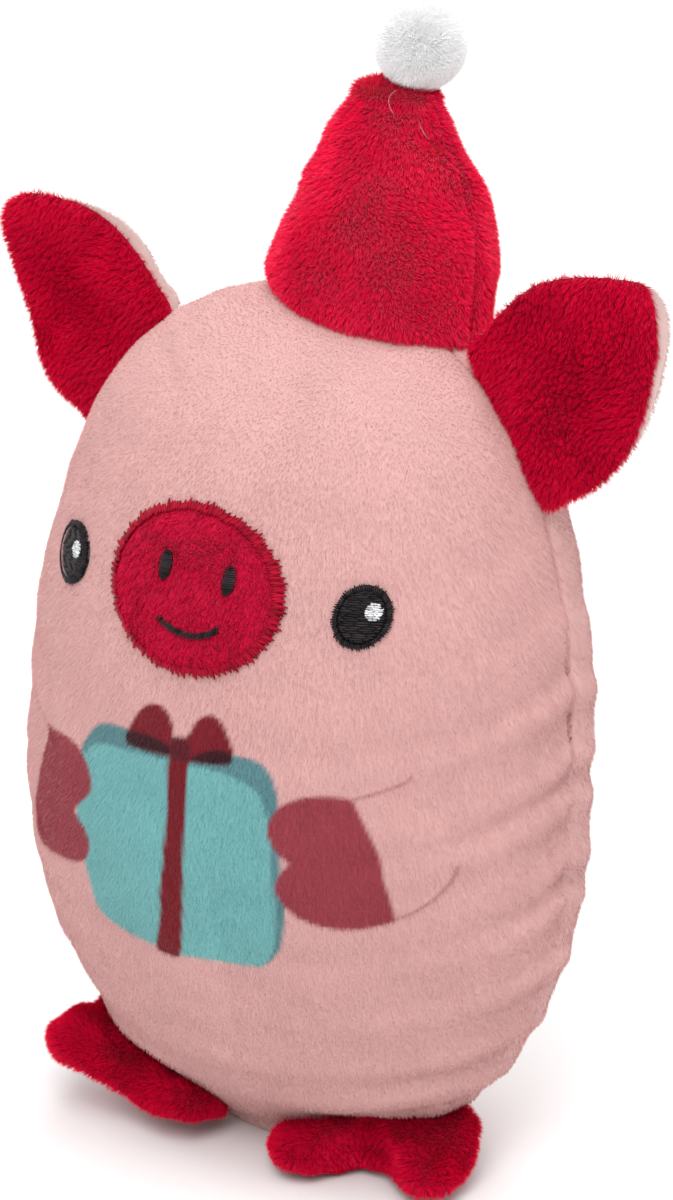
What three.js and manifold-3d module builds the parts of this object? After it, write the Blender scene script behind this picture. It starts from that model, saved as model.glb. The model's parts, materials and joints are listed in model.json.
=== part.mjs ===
// Plush pig with a party hat, sewn from short-pile cloth and stuffed.
// Millimetres, +Z up, the pig looks along -Y and its own left side is +X.
// The origin is on the flat it stands on, below the middle of the belly.
import * as THREE from 'three';
import { mergeVertices } from 'three/addons/utils/BufferGeometryUtils.js';
import Module from 'manifold-3d';

const manifold = await Module();
manifold.setup();

// Cloth and fits
const clothThickness = 1.5;
const sewnGap = 0.3;
const waddingGap = 0.8;
const cutOverrun = 4;
const foldSteps = 7;

// Body: an upright egg, deeper in front of the side seam than behind it
const bodyHalfWidth = 64;
const bodyFrontDepth = 49;
const bodyBackDepth = 39;
const bodyBeltHeight = 78;
const bodyTopRise = 103;
const baseFlatDepth = 3;
const bodyLeanShare = 0.045;
// How square the egg's outline is, above and below the belt, seen from the front and the side
const widthPowerShares = { above: 2.6, below: 2.12 };
const frontPowerShares = { above: 2.0, below: 1.55 };
const backPowerShares = { above: 2.3, below: 2.2 };
const bodyColumns = 14;
const bodyRowsAbove = 9;
const bodyRowsBelow = 7;

// Ears: two plies, sewn along a straight base whose middle is on the side seam, below the crown
const earBaseDropDepth = 20;
const earBaseLength = 34;
const earBaseSlope = THREE.MathUtils.degToRad(57);
const earLength = 41;
const earHingeOffset = 3.5;
const earPlyThickness = 2.6;
const earEdgeThickness = 0.9;
const earCupDepth = 3.5;
const earFold = { back: THREE.MathUtils.degToRad(-40), forward: THREE.MathUtils.degToRad(70) };
const earLeftBendDepth = 1.5;
const earRightBendDepth = 9;
// The ear's outline: along the base from chin side to crown side, and out from the base
const earOutlineShares = [
  [-0.54, -0.08], [-0.57, 0.12], [-0.55, 0.3], [-0.45, 0.53], [-0.27, 0.78], [-0.04, 0.97],
  [0.16, 1], [0.36, 0.93], [0.54, 0.75], [0.64, 0.5], [0.63, 0.25], [0.55, 0.04], [0.5, -0.08], [0, -0.1],
];

// Hat: a stuffed cone, set to the pig's left and a little behind the crown
const hatOffsetX = 8.8;
const hatOffsetY = 11.8;
const hatLeanOffset = 2.6;
const hatSeatDepth = 5;
const hatHeight = 46.4;
const hatSkirtLength = 20;
const hatHalfWidth = 25.5;
const hatFrontDepth = 21;
const hatBackDepth = 17;
const hatTurn = THREE.MathUtils.degToRad(-8);
const hatColumns = 10;
// The cone's outline: height above the rim, then half width
const hatOutlineShares = [
  [0, 1], [0.11, 1.01], [0.23, 1], [0.41, 0.897], [0.59, 0.79], [0.75, 0.665],
  [0.85, 0.55], [0.93, 0.43], [0.98, 0.27],
];

// Pompom and the knot that ties it through the tip of the hat
const pompomRadius = 8.8;
const pompomOffset = 3;
const knotRadius = 1.5;
const knotDepth = 9;
const threadChannelRadius = 0.8;

// Feet: flat pads with two toes, sewn into the bottom seam and pointing forward
const footOffsetX = 24;
const footOffsetY = 3;
const footWidth = 44;
const footLength = 28;
const footHeight = 9.5;
const footRimHeight = 3.4;
const footFillShare = 0.8;
const footToeOut = THREE.MathUtils.degToRad(15);
const footHeelRiseHeight = 8;
const footLeftToeHeight = 0;
const footRightToeHeight = 11;
const footHingeHeight = 4.5;
const footHingeRise = THREE.MathUtils.degToRad(15);
const footLiftShares = { from: -0.2, to: 0.5, back: 0.6 };
const footFold = { down: THREE.MathUtils.degToRad(-45), up: THREE.MathUtils.degToRad(12) };
// The foot's outline: across from the inner side to the outer side, and forward from the seam
const footOutlineShares = [
  [-0.5, 0.1], [-0.52, 0.4], [-0.5, 0.65], [-0.42, 0.9], [-0.3, 1], [-0.18, 0.93], [-0.1, 0.76],
  [-0.02, 0.71], [0.07, 0.75], [0.18, 0.9], [0.32, 0.97], [0.45, 0.86], [0.5, 0.6], [0.49, 0.3],
  [0.45, 0.08], [0.2, 0], [-0.2, 0],
];

// Snout: a plush patch with a satin-stitched border, nostrils and a smile
const snoutHeight = 129.3;
const snoutHalfWidth = 21.3;
const snoutHalfHeight = 16.2;
const snoutBorderWidth = 2.2;
const snoutPatchThickness = 1.4;
const snoutBorderThickness = 2;
const threadThickness = 0.6;
const nostrilOffset = 7.9;
const nostrilRiseHeight = 3.4;
const nostrilHalfWidth = 1.4;
const nostrilHalfHeight = 2.8;
const mouthHalfWidth = 7.1;
const mouthDropHeight = 6.9;
const mouthSagDepth = 2.6;
const mouthThickness = 1.2;

// Eyes: satin-stitched discs with a white glint
const eyeOffset = 35.8;
const eyeHeight = 128.4;
const eyeHalfWidth = 5.4;
const eyeHalfHeight = 6.5;
const eyeThickness = 0.9;
const glintOffset = 1.9;
const glintRiseHeight = 0.9;
const glintHalfWidth = 1.6;
const glintHalfHeight = 1.9;

// Closing stitches: the thread that shuts the stuffing hole in the pig's left side seam
const closingBottom = 94;
const closingTop = 113;
const closingThreadRadius = 0.45;
const closingStitches = 7;

// Materials
const paint = (colour, roughness) =>
  new THREE.MeshStandardMaterial({ color: colour, roughness, metalness: 0 });
const pinkCloth = () => paint(0xebb4b2, 0.95);
const redPlush = () => paint(0xc20f32, 0.9);
const whiteFluff = () => paint(0xe9e9e9, 1);
const blackThread = () => paint(0x1e1c1e, 0.55);
const whiteThread = () => paint(0xf2f2f2, 0.6);
const redThread = () => paint(0xbb1236, 0.5);
const pinkThread = () => paint(0xc9857f, 0.7);
const wadding = () => paint(0xf4f1ea, 1);

const turn = 2 * Math.PI;
const range = (count) => Array.from({ length: count }, (_, i) => i);
const smooth = (share) => {
  const s = Math.min(1, Math.max(0, share));
  return s * s * (3 - 2 * s);
};

// Closed solids from grids of points

function closedGeometry(positions, faces) {
  const raw = new THREE.BufferGeometry();
  raw.setAttribute('position', new THREE.Float32BufferAttribute(positions, 3));
  raw.setIndex(faces);
  const merged = mergeVertices(raw);
  const index = merged.getIndex().array;
  const kept = [];
  for (let i = 0; i < index.length; i += 3) {
    const [a, b, c] = [index[i], index[i + 1], index[i + 2]];
    if (a !== b && b !== c && c !== a) kept.push(a, b, c);
  }
  merged.setIndex(kept);
  return facingOut(merged);
}

function facingOut(geometry) {
  const index = Array.from(geometry.getIndex().array);
  const position = geometry.getAttribute('position');
  const corners = [new THREE.Vector3(), new THREE.Vector3(), new THREE.Vector3()];
  let volume = 0;
  for (let i = 0; i < index.length; i += 3) {
    corners.forEach((corner, k) => corner.fromBufferAttribute(position, index[i + k]));
    volume += corners[0].dot(corners[1].clone().cross(corners[2]));
  }
  if (volume < 0) {
    for (let i = 0; i < index.length; i += 3) [index[i], index[i + 1]] = [index[i + 1], index[i]];
    geometry.setIndex(index);
  }
  return geometry;
}

// A sheet with two faces, given as point functions of row and column, closed round its border
function thickSheet(rows, columns, wraps, outerAt, innerAt) {
  const across = wraps ? columns : columns + 1;
  const positions = [];
  for (const at of [outerAt, innerAt]) {
    for (let row = 0; row <= rows; row++) {
      for (let column = 0; column < across; column++) positions.push(...at(row, column));
    }
  }
  const layer = (rows + 1) * across;
  const id = (face, row, column) => face * layer + row * across + (column % across);
  const faces = [];
  const quad = (a, b, c, d) => faces.push(a, b, c, a, c, d);
  for (let row = 0; row < rows; row++) {
    for (let column = 0; column < columns; column++) {
      quad(id(0, row, column), id(0, row, column + 1), id(0, row + 1, column + 1), id(0, row + 1, column));
      quad(id(1, row, column), id(1, row + 1, column), id(1, row + 1, column + 1), id(1, row, column + 1));
    }
  }
  for (let column = 0; column < columns; column++) {
    quad(id(0, 0, column), id(1, 0, column), id(1, 0, column + 1), id(0, 0, column + 1));
    quad(id(0, rows, column), id(0, rows, column + 1), id(1, rows, column + 1), id(1, rows, column));
  }
  if (!wraps) {
    for (let row = 0; row < rows; row++) {
      quad(id(0, row, 0), id(0, row + 1, 0), id(1, row + 1, 0), id(1, row, 0));
      quad(id(0, row, columns), id(1, row, columns), id(1, row + 1, columns), id(0, row + 1, columns));
    }
  }
  return closedGeometry(positions, faces);
}

// A closed skin whose first and last rows are single points
function closedSkin(rows, columns, at) {
  const positions = [];
  for (let row = 0; row <= rows; row++) {
    for (let column = 0; column < columns; column++) positions.push(...at(row, column));
  }
  const id = (row, column) => row * columns + (column % columns);
  const faces = [];
  for (let row = 0; row < rows; row++) {
    for (let column = 0; column < columns; column++) {
      faces.push(id(row, column), id(row, column + 1), id(row + 1, column + 1));
      faces.push(id(row, column), id(row + 1, column + 1), id(row + 1, column));
    }
  }
  return closedGeometry(positions, faces);
}

// Boolean cuts

function toSolid(geometry) {
  const bare = geometry.clone();
  bare.deleteAttribute('normal');
  bare.deleteAttribute('uv');
  const merged = mergeVertices(bare);
  return new manifold.Manifold(new manifold.Mesh({
    numProp: 3,
    vertProperties: new Float32Array(merged.getAttribute('position').array),
    triVerts: new Uint32Array(merged.getIndex().array),
  }));
}

function toGeometry(solid) {
  const mesh = solid.getMesh();
  const geometry = new THREE.BufferGeometry();
  geometry.setAttribute('position', new THREE.Float32BufferAttribute(mesh.vertProperties, 3));
  geometry.setIndex(Array.from(mesh.triVerts));
  return geometry;
}

function cutAway(geometry, cutters) {
  let solid = toSolid(geometry);
  for (const cutter of cutters) solid = solid.subtract(toSolid(cutter));
  return toGeometry(solid);
}

// Body surface

const bodyFullDrop = bodyBeltHeight + baseFlatDepth;
const bodyHeight = bodyBeltHeight + bodyTopRise;

const seamY = (height) => bodyLeanShare * (height - bodyBeltHeight);

// The share of its full half width or depth that the egg keeps at a height
function eggShare(height, power, grow) {
  const above = height >= bodyBeltHeight;
  const reach = (above ? bodyTopRise : bodyFullDrop) + grow;
  const share = Math.min(1, Math.abs(height - bodyBeltHeight) / reach);
  const p = above ? power.above : power.below;
  return Math.pow(Math.max(0, 1 - Math.pow(share, p)), 1 / p);
}

const halfWidthAt = (height, grow) => (bodyHalfWidth + grow) * eggShare(height, widthPowerShares, grow);
const seamPlace = (height) => new THREE.Vector2(halfWidthAt(height, 0), height);
const frontDepthAt = (height, grow) => (bodyFrontDepth + grow) * eggShare(height, frontPowerShares, grow);
const backDepthAt = (height, grow) => (bodyBackDepth + grow) * eggShare(height, backPowerShares, grow);

function frontY(x, height, grow) {
  const across = Math.min(1, Math.abs(x) / halfWidthAt(height, grow));
  return seamY(height) - frontDepthAt(height, grow) * Math.sqrt(1 - across * across);
}

// Rows of the egg from the middle of the flat base to the top
const bodyRows = bodyRowsBelow + bodyRowsAbove + 1;

function bodyLevel(row, grow) {
  const base = -grow;
  if (row === 0) return { height: base, spread: 0 };
  if (row === bodyRows) return { height: bodyHeight + grow, spread: 0 };
  if (row <= bodyRowsBelow + 1) {
    const flatAngle = Math.asin((bodyBeltHeight - base) / (bodyFullDrop + grow));
    const angle = flatAngle * (1 - (row - 1) / bodyRowsBelow);
    return { height: bodyBeltHeight - (bodyFullDrop + grow) * Math.sin(angle), spread: 1 };
  }
  const angle = (Math.PI / 2) * ((row - 1 - bodyRowsBelow) / bodyRowsAbove);
  return { height: bodyBeltHeight + (bodyTopRise + grow) * Math.sin(angle), spread: 1 };
}

function bodyPoint(row, angle, grow) {
  const { height, spread } = bodyLevel(row, grow);
  const x = spread * halfWidthAt(height, grow) * Math.cos(angle);
  const depth = Math.sin(angle) < 0 ? frontDepthAt(height, grow) : backDepthAt(height, grow);
  return [x, seamY(height) + spread * depth * Math.sin(angle), height];
}

const wholeBody = (grow, columns = 2 * bodyColumns) => closedSkin(bodyRows, columns, (row, column) =>
  bodyPoint(row, (turn * column) / columns, grow));

// One of the two cloth halves, front at side -1 and back at side 1
function bodyPanel(side) {
  const at = (grow) => (row, column) => {
    const [x, y, z] = bodyPoint(row, side * Math.PI * (column / bodyColumns), grow);
    return [x, y + (side * sewnGap) / 2, z];
  };
  return thickSheet(bodyRows, bodyColumns, false, at(0), at(-clothThickness));
}

// The body in every place it takes as a flap folds about its hinge, seen from the flap
function foldCutters({ point, axis }, lowest, highest) {
  return range(foldSteps + 1).map((i) => {
    const angle = lowest + ((highest - lowest) * i) / foldSteps;
    const unfold = new THREE.Matrix4().makeTranslation(point.x, point.y, point.z)
      .multiply(new THREE.Matrix4().makeRotationAxis(axis, -angle))
      .multiply(new THREE.Matrix4().makeTranslation(-point.x, -point.y, -point.z));
    return wholeBody(sewnGap).applyMatrix4(unfold);
  });
}

// Hat

const hatRimHeight = bodyHeight - hatSeatDepth;

function hatPoint(heightShare, widthShare, angle, grow) {
  const height = hatRimHeight + heightShare * (hatHeight + grow);
  const depth = Math.sin(angle) < 0 ? hatFrontDepth : hatBackDepth;
  const along = (hatHalfWidth + grow) * widthShare * Math.cos(angle);
  const across = (depth + grow) * widthShare * Math.sin(angle);
  return [
    hatOffsetX + hatLeanOffset * heightShare + along * Math.cos(hatTurn) - across * Math.sin(hatTurn),
    hatOffsetY + hatLeanOffset * heightShare + along * Math.sin(hatTurn) + across * Math.cos(hatTurn),
    height,
  ];
}

// Rows from the middle of the skirt's underside to the tip
const hatRows = hatOutlineShares.length + 2;

function hatShares(row) {
  const skirtShare = -hatSkirtLength / hatHeight;
  if (row === 0) return [skirtShare, 0];
  if (row === 1) return [skirtShare, 1];
  if (row === hatRows) return [1, 0];
  return hatOutlineShares[row - 2];
}

function hatPanel(side) {
  const at = (grow) => (row, column) => {
    const [heightShare, widthShare] = hatShares(row);
    const angle = side * Math.PI * (column / hatColumns);
    const [x, y, z] = hatPoint(heightShare, widthShare, angle, grow);
    return [x, y + (side * sewnGap) / 2, z];
  };
  const shell = thickSheet(hatRows, hatColumns, false, at(0), at(-clothThickness));
  return cutAway(shell, [wholeBody(sewnGap)]);
}

const hatTip = () => {
  const [x, y, z] = hatPoint(1, 0, 0, 0);
  return new THREE.Vector3(x, y, z);
};

function hatFill() {
  const shrink = -(clothThickness + sewnGap);
  const core = closedSkin(hatRows, hatColumns, (row, column) => {
    const [heightShare, widthShare] = hatShares(row);
    return hatPoint(heightShare, widthShare, (turn * column) / hatColumns, shrink);
  });
  const knotSpace = ball(knotRadius + sewnGap, knotCentre());
  const channelLength = knotDepth + cutOverrun;
  const channel = new THREE.CylinderGeometry(threadChannelRadius, threadChannelRadius, channelLength, 10);
  channel.rotateX(Math.PI / 2);
  channel.translate(...knotCentre().toArray());
  channel.translate(0, 0, channelLength / 2);
  return cutAway(core, [wholeBody(sewnGap), knotSpace, channel]);
}

// Pompom

const pompomAxis = () => {
  const tip = hatTip();
  return new THREE.Vector3(tip.x + pompomOffset, tip.y, tip.z);
};

function knotCentre() {
  return pompomAxis().add(new THREE.Vector3(0, 0, -knotDepth));
}

function pompomCentre() {
  return pompomAxis().add(new THREE.Vector3(0, 0, pompomRadius + sewnGap));
}

const ballColumns = 16;

const ball = (radius, centre) =>
  new THREE.SphereGeometry(radius, ballColumns, ballColumns / 2).translate(...centre.toArray());

// Pads sewn from two plies round one outline

function smoothOutline(shares, width, length, count) {
  const points = shares.map(([u, v]) => new THREE.Vector3(u * width, v * length, 0));
  const curve = new THREE.CatmullRomCurve3(points, true);
  return range(count).map((i) => curve.getPoint(i / count));
}

function middleOf(outline) {
  const middle = new THREE.Vector3();
  outline.forEach((point) => middle.add(point));
  return middle.divideScalar(outline.length);
}

// How far in from the outline each ring of a pad lies, from the middle to the rim
const padRingShares = [0, 0.6, 0.88, 1];
const roundingShare = 0.6;

const rounding = (ring) => {
  const past = Math.max(0, (ring - roundingShare) / (1 - roundingShare));
  return Math.sqrt(Math.max(0, 1 - past * past));
};

// A ply between two heights over the pad's outline, each a function of place and ring share
function ply(outline, topAt, bottomAt, toWorld) {
  const middle = middleOf(outline);
  const place = (row, column, heightAt) => {
    const ring = padRingShares[row];
    const point = middle.clone().lerp(outline[column % outline.length], ring);
    return toWorld(point.x, point.y, heightAt(point.x, point.y, ring));
  };
  return thickSheet(padRingShares.length - 1, outline.length, true,
    (row, column) => place(row, column, topAt), (row, column) => place(row, column, bottomAt));
}

// Ears

const earOutlineCount = 22;
const earBaseMiddle = seamPlace(bodyHeight - earBaseDropDepth);

// Places on an ear: along its base towards the crown, out from its base, and forward
function earToWorld(side) {
  const along = new THREE.Vector2(-Math.cos(earBaseSlope), Math.sin(earBaseSlope));
  const out = new THREE.Vector2(along.y, -along.x);
  return (u, v, forward) => {
    const place = earBaseMiddle.clone().addScaledVector(along, u);
    place.addScaledVector(out, earHingeOffset - earPlyThickness + v);
    return [side * place.x, seamY(place.y) - forward, place.y];
  };
}

function earPly(side, isFront) {
  const outline = smoothOutline(earOutlineShares, earBaseLength, earLength, earOutlineCount);
  const bend = side > 0 ? earLeftBendDepth : earRightBendDepth;
  const facing = isFront ? 1 : -1;
  const mid = (u, v) => {
    const vShare = v / earLength;
    const uShare = u / (earBaseLength / 2);
    return bend * vShare * vShare + earCupDepth * (uShare * uShare - 1) * smooth(vShare);
  };
  const face = (u, v, ring) =>
    mid(u, v) + facing * (earEdgeThickness + (earPlyThickness - earEdgeThickness) * rounding(ring));
  const inside = (u, v) => mid(u, v) + (facing * sewnGap) / 2;
  const flat = ply(outline, face, inside, earToWorld(side));
  return cutAway(flat, foldCutters(earHinge(side), earFold.back, earFold.forward));
}

// The fold line of an ear: turning by a positive angle brings the ear forward over the face
function earHinge(side) {
  const place = earToWorld(side);
  const point = new THREE.Vector3(...place(0, earPlyThickness, 0));
  const axis = new THREE.Vector3(...place(earBaseLength, earPlyThickness, 0)).sub(point).normalize();
  return { point, axis: axis.multiplyScalar(-side) };
}

// Feet

const footOutlineCount = 26;

function footToWorld(side) {
  const out = [Math.cos(footToeOut), Math.sin(footToeOut)];
  const forward = [Math.sin(footToeOut), -Math.cos(footToeOut)];
  return (u, v, height) => [
    side * (footOffsetX + out[0] * u + forward[0] * v),
    out[1] * u + forward[1] * v - footOffsetY,
    height,
  ];
}

// The outer back corner climbs to the seam, and one foot's outer toe curls up
function footLift(side, u, v) {
  const toeLift = side > 0 ? footLeftToeHeight : footRightToeHeight;
  const { from, to, back } = footLiftShares;
  const outward = smooth((u / footWidth - from) / (to - from));
  const heel = smooth(1 - v / (back * footLength));
  return outward * (footHeelRiseHeight * heel + toeLift);
}

function footSection(side) {
  const rim = footRimHeight;
  const crown = footHeight - footRimHeight - clothThickness - sewnGap;
  return {
    soleUnder: (u, v, ring) => footLift(side, u, v) + (rim - clothThickness) * (1 - rounding(ring)),
    topOver: (u, v, ring) => footLift(side, u, v) + rim + sewnGap + clothThickness + crown * rounding(ring),
  };
}

// The fold line of a foot: turning by a positive angle lifts the toes
function footHinge(side) {
  const place = footToWorld(side);
  const point = new THREE.Vector3(...place(0, 0, footHingeHeight));
  const rise = Math.tan(footHingeRise) * footWidth;
  const inner = new THREE.Vector3(...place(-footWidth / 2, 0, -rise / 2));
  const outer = new THREE.Vector3(...place(footWidth / 2, 0, rise / 2));
  const axis = outer.sub(inner).normalize().multiplyScalar(-side);
  return { point, axis };
}

function footPiece(side, which) {
  const outline = smoothOutline(footOutlineShares, footWidth, footLength, footOutlineCount);
  const { soleUnder, topOver } = footSection(side);
  const soleTop = (u, v, ring) => soleUnder(u, v, ring) + clothThickness;
  const topUnder = (u, v, ring) => topOver(u, v, ring) - clothThickness;
  const shapes = {
    upper: () => ply(outline, topOver, topUnder, footToWorld(side)),
    sole: () => ply(outline, soleTop, soleUnder, footToWorld(side)),
    fill: () => ply(drawnIn(outline, footFillShare),
      (u, v, ring) => topUnder(u, v, ring * footFillShare) - waddingGap,
      (u, v, ring) => soleTop(u, v, ring * footFillShare) + waddingGap, footToWorld(side)),
  };
  return cutAway(shapes[which](), foldCutters(footHinge(side), footFold.down, footFold.up));
}

function drawnIn(outline, share) {
  const middle = middleOf(outline);
  return outline.map((point) => middle.clone().lerp(point, share));
}

// Patches and embroidery that lie on the front of the body

const discRings = 3;
const patchColumns = 32;
const borderColumns = 36;
const eyeColumns = 20;
const smallColumns = 12;

// An oval that follows the front of the body at a standoff from it
function frontDisc(oval, standoff, thickness, columns) {
  const at = (grow) => (row, column) => {
    const angle = (turn * column) / columns;
    const x = oval.x + oval.halfWidth * (row / discRings) * Math.cos(angle);
    const height = oval.height + oval.halfHeight * (row / discRings) * Math.sin(angle);
    return [x, frontY(x, height, grow), height];
  };
  return thickSheet(discRings, columns, true, at(standoff + thickness), at(standoff));
}

function snoutBorder() {
  const rings = 2;
  const at = (grow) => (row, column) => {
    const angle = (turn * column) / borderColumns;
    const inset = snoutBorderWidth * (1 - row / rings);
    const x = (snoutHalfWidth - inset) * Math.cos(angle);
    const height = snoutHeight + (snoutHalfHeight - inset) * Math.sin(angle);
    return [x, frontY(x, height, grow), height];
  };
  return thickSheet(rings, borderColumns, true, at(sewnGap + snoutBorderThickness), at(sewnGap));
}

function snoutPatch() {
  const inset = snoutBorderWidth + sewnGap;
  const oval = { x: 0, height: snoutHeight };
  oval.halfWidth = snoutHalfWidth - inset;
  oval.halfHeight = snoutHalfHeight - inset;
  return frontDisc(oval, sewnGap, snoutPatchThickness, patchColumns);
}

// How far off the body a thread lies that is stitched through the snout patch
const onPatch = 2 * sewnGap + snoutPatchThickness;

function nostril(side) {
  const oval = { x: side * nostrilOffset, height: snoutHeight + nostrilRiseHeight };
  oval.halfWidth = nostrilHalfWidth;
  oval.halfHeight = nostrilHalfHeight;
  return frontDisc(oval, onPatch, threadThickness, smallColumns);
}

function eye(side) {
  const oval = { x: side * eyeOffset, height: eyeHeight, halfWidth: eyeHalfWidth, halfHeight: eyeHalfHeight };
  return frontDisc(oval, sewnGap, eyeThickness, eyeColumns);
}

// Both glints sit on the same side of their eyes
function glint(side) {
  const oval = { x: side * eyeOffset + glintOffset, height: eyeHeight + glintRiseHeight };
  oval.halfWidth = glintHalfWidth;
  oval.halfHeight = glintHalfHeight;
  return frontDisc(oval, 2 * sewnGap + eyeThickness, threadThickness, smallColumns);
}

function smile(standoff) {
  const columns = 12;
  const at = (grow) => (row, column) => {
    const across = (2 * column) / columns - 1;
    const x = mouthHalfWidth * across;
    const middle = snoutHeight - mouthDropHeight - mouthSagDepth * (1 - across * across);
    const height = middle + mouthThickness * (row - 1 / 2);
    return [x, frontY(x, height, grow), height];
  };
  return thickSheet(1, columns, false, at(standoff + threadThickness), at(standoff));
}

// The closing thread zigzags across the seam, just off the cloth
function closingThread() {
  const points = range(2 * closingStitches + 1).map((i) => {
    const height = closingBottom + ((closingTop - closingBottom) * i) / (2 * closingStitches);
    const sway = 2 * closingThreadRadius * (i % 2 === 0 ? 1 : -1);
    const x = halfWidthAt(height, 0) + sewnGap + closingThreadRadius;
    return new THREE.Vector3(x, seamY(height) + sway, height);
  });
  const sides = 6;
  const section = new THREE.Shape(range(sides).map((i) => new THREE.Vector2(
    closingThreadRadius * Math.cos((turn * i) / sides), closingThreadRadius * Math.sin((turn * i) / sides))));
  return new THREE.ExtrudeGeometry(section, {
    steps: 4 * closingStitches, bevelEnabled: false, extrudePath: new THREE.CatmullRomCurve3(points),
  });
}

// The toy

const toy = new THREE.Group();

function add(name, geometry, material) {
  const mesh = new THREE.Mesh(geometry, material);
  mesh.name = name;
  toy.add(mesh);
  return mesh;
}

add('body_front_panel', bodyPanel(-1), pinkCloth());
add('body_back_panel', bodyPanel(1), pinkCloth());
add('body_fill', wholeBody(-(clothThickness + sewnGap), bodyColumns), wadding());
add('closing_thread', closingThread(), pinkThread());

for (const [name, side] of [['left', 1], ['right', -1]]) {
  add(`ear_${name}_front`, earPly(side, true), redPlush());
  add(`ear_${name}_back`, earPly(side, false), pinkCloth());
  add(`foot_${name}_upper`, footPiece(side, 'upper'), redPlush());
  add(`foot_${name}_sole`, footPiece(side, 'sole'), redPlush());
  add(`foot_${name}_fill`, footPiece(side, 'fill'), wadding());
  add(`eye_${name}`, eye(side), blackThread());
  add(`eye_${name}_glint`, glint(side), whiteThread());
}

add('hat_front_panel', hatPanel(-1), redPlush());
add('hat_back_panel', hatPanel(1), redPlush());
add('hat_fill', hatFill(), wadding());

add('pompom', ball(pompomRadius, pompomCentre()), whiteFluff());
add('pompom_knot', ball(knotRadius, knotCentre()), whiteThread());

add('snout_patch', snoutPatch(), redPlush());
add('snout_border', snoutBorder(), redThread());
add('nostril_left', nostril(1), blackThread());
add('nostril_right', nostril(-1), blackThread());
add('mouth', smile(onPatch), blackThread());

export default toy;
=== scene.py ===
# %% [markdown]
# # A plush pig, dressed piece by piece
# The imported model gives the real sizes, the hinges and a plain solid for every sewn piece.
# This lesson replaces those solids with soft skins, lays a pile on each cloth, draws the print,
# and lays every stitch of the embroidery. Lengths in the tables are millimetres, and objects are metres.

# %% The frame
import json
import math

import bmesh
import bpy
import numpy as np
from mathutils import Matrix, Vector

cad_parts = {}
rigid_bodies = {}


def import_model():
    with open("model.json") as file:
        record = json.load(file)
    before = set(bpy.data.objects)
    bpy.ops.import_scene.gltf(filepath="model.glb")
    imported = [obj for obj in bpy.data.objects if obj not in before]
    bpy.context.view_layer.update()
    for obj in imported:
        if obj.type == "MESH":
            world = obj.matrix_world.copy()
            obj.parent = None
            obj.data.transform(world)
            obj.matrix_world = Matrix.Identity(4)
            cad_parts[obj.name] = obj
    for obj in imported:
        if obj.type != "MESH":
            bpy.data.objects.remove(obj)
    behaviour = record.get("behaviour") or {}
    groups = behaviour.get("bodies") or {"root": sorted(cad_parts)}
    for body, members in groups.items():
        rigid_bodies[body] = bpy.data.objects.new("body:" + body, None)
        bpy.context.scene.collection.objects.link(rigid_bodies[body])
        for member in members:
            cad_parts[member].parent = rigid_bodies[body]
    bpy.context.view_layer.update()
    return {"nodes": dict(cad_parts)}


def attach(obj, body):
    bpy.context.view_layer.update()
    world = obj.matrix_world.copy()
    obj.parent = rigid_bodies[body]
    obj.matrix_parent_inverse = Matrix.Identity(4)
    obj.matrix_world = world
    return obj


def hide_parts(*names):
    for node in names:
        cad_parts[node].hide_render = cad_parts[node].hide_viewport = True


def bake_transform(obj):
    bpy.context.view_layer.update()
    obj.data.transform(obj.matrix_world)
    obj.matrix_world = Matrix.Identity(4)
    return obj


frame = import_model()

MM = 0.001

# %% [markdown]
# ## Camera
# The photograph looks a little down on the toy and from its left. The place, the lens and the small
# shift were found by fitting the egg of the body, both eyes and the snout to the picture.

# %% Camera
CAMERA_PLACE, CAMERA_AIM = (0.57116, -0.78614, 0.44456), (0, 0, 0.103)
CAMERA_LENS, CAMERA_SENSOR, CAMERA_SHIFT = 150.0, 36, (0.0203, 0.0503)


def new_object(name, data, place=(0, 0, 0), aim=None):
    """An object in the scene, turned from its place to an aim if it has one."""
    made = bpy.data.objects.new(name, data)
    bpy.context.scene.collection.objects.link(made)
    made.location = place
    if aim:
        made.rotation_euler = (Vector(aim) - Vector(place)).to_track_quat("-Z", "Y").to_euler()
    return made


camera = new_object("camera", bpy.data.cameras.new("camera"), CAMERA_PLACE, CAMERA_AIM)
camera.data.lens, camera.data.sensor_width = CAMERA_LENS, CAMERA_SENSOR
camera.data.shift_x, camera.data.shift_y = CAMERA_SHIFT
bpy.context.scene.camera = camera
print("camera at", CAMERA_PLACE)

# %% [markdown]
# ## Light
# Plush needs soft light, so that the pile shades itself gently. One large panel hangs overhead and
# one fills from the front, two small ones brush the far side and the back, and one lights the backdrop.

# %% Light
WORLD_LIGHT = 0.53
PANELS = {  # place, aim, size in metres, watts
    "overhead_panel": ((0.2, -0.15, 1.25), (0, 0, 0.1), 1.0, 8.8),
    "front_panel": ((0.5, -1.15, 1.25), (0, 0, 0.14), 0.9, 15.8),
    "side_panel": ((-1.1, 0.1, 0.55), (0, 0, 0.16), 0.7, 2.5),
    "back_panel": ((0.9, 0.8, 0.6), (0, 0, 0.14), 0.7, 2),
    "backdrop_panel": ((-0.6, 1.1, 1.2), (-0.55, 0.8, 0), 1.0, 8)}

for name, (place, aim, size, watts) in PANELS.items():
    light = bpy.data.lights.new(name, "AREA")
    light.size, light.energy = size, watts
    new_object(name, light, place, aim)

world = bpy.data.worlds.new("studio")
world.use_nodes = True
world.node_tree.nodes["Background"].inputs["Color"].default_value = (1, 1, 1, 1)
world.node_tree.nodes["Background"].inputs["Strength"].default_value = WORLD_LIGHT
bpy.context.scene.world = world
bpy.context.scene.view_settings.view_transform = "Standard"
print("lights:", len(bpy.data.lights))

# %% [markdown]
# ## Small tools for materials
# Every finish is a node tree. These helpers keep the trees short: one adds a node and sets its
# sockets, some read a stored value or lay soft noise over a piece, and one starts a material whose
# own sockets hold the numbers that are the same all over.

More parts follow.
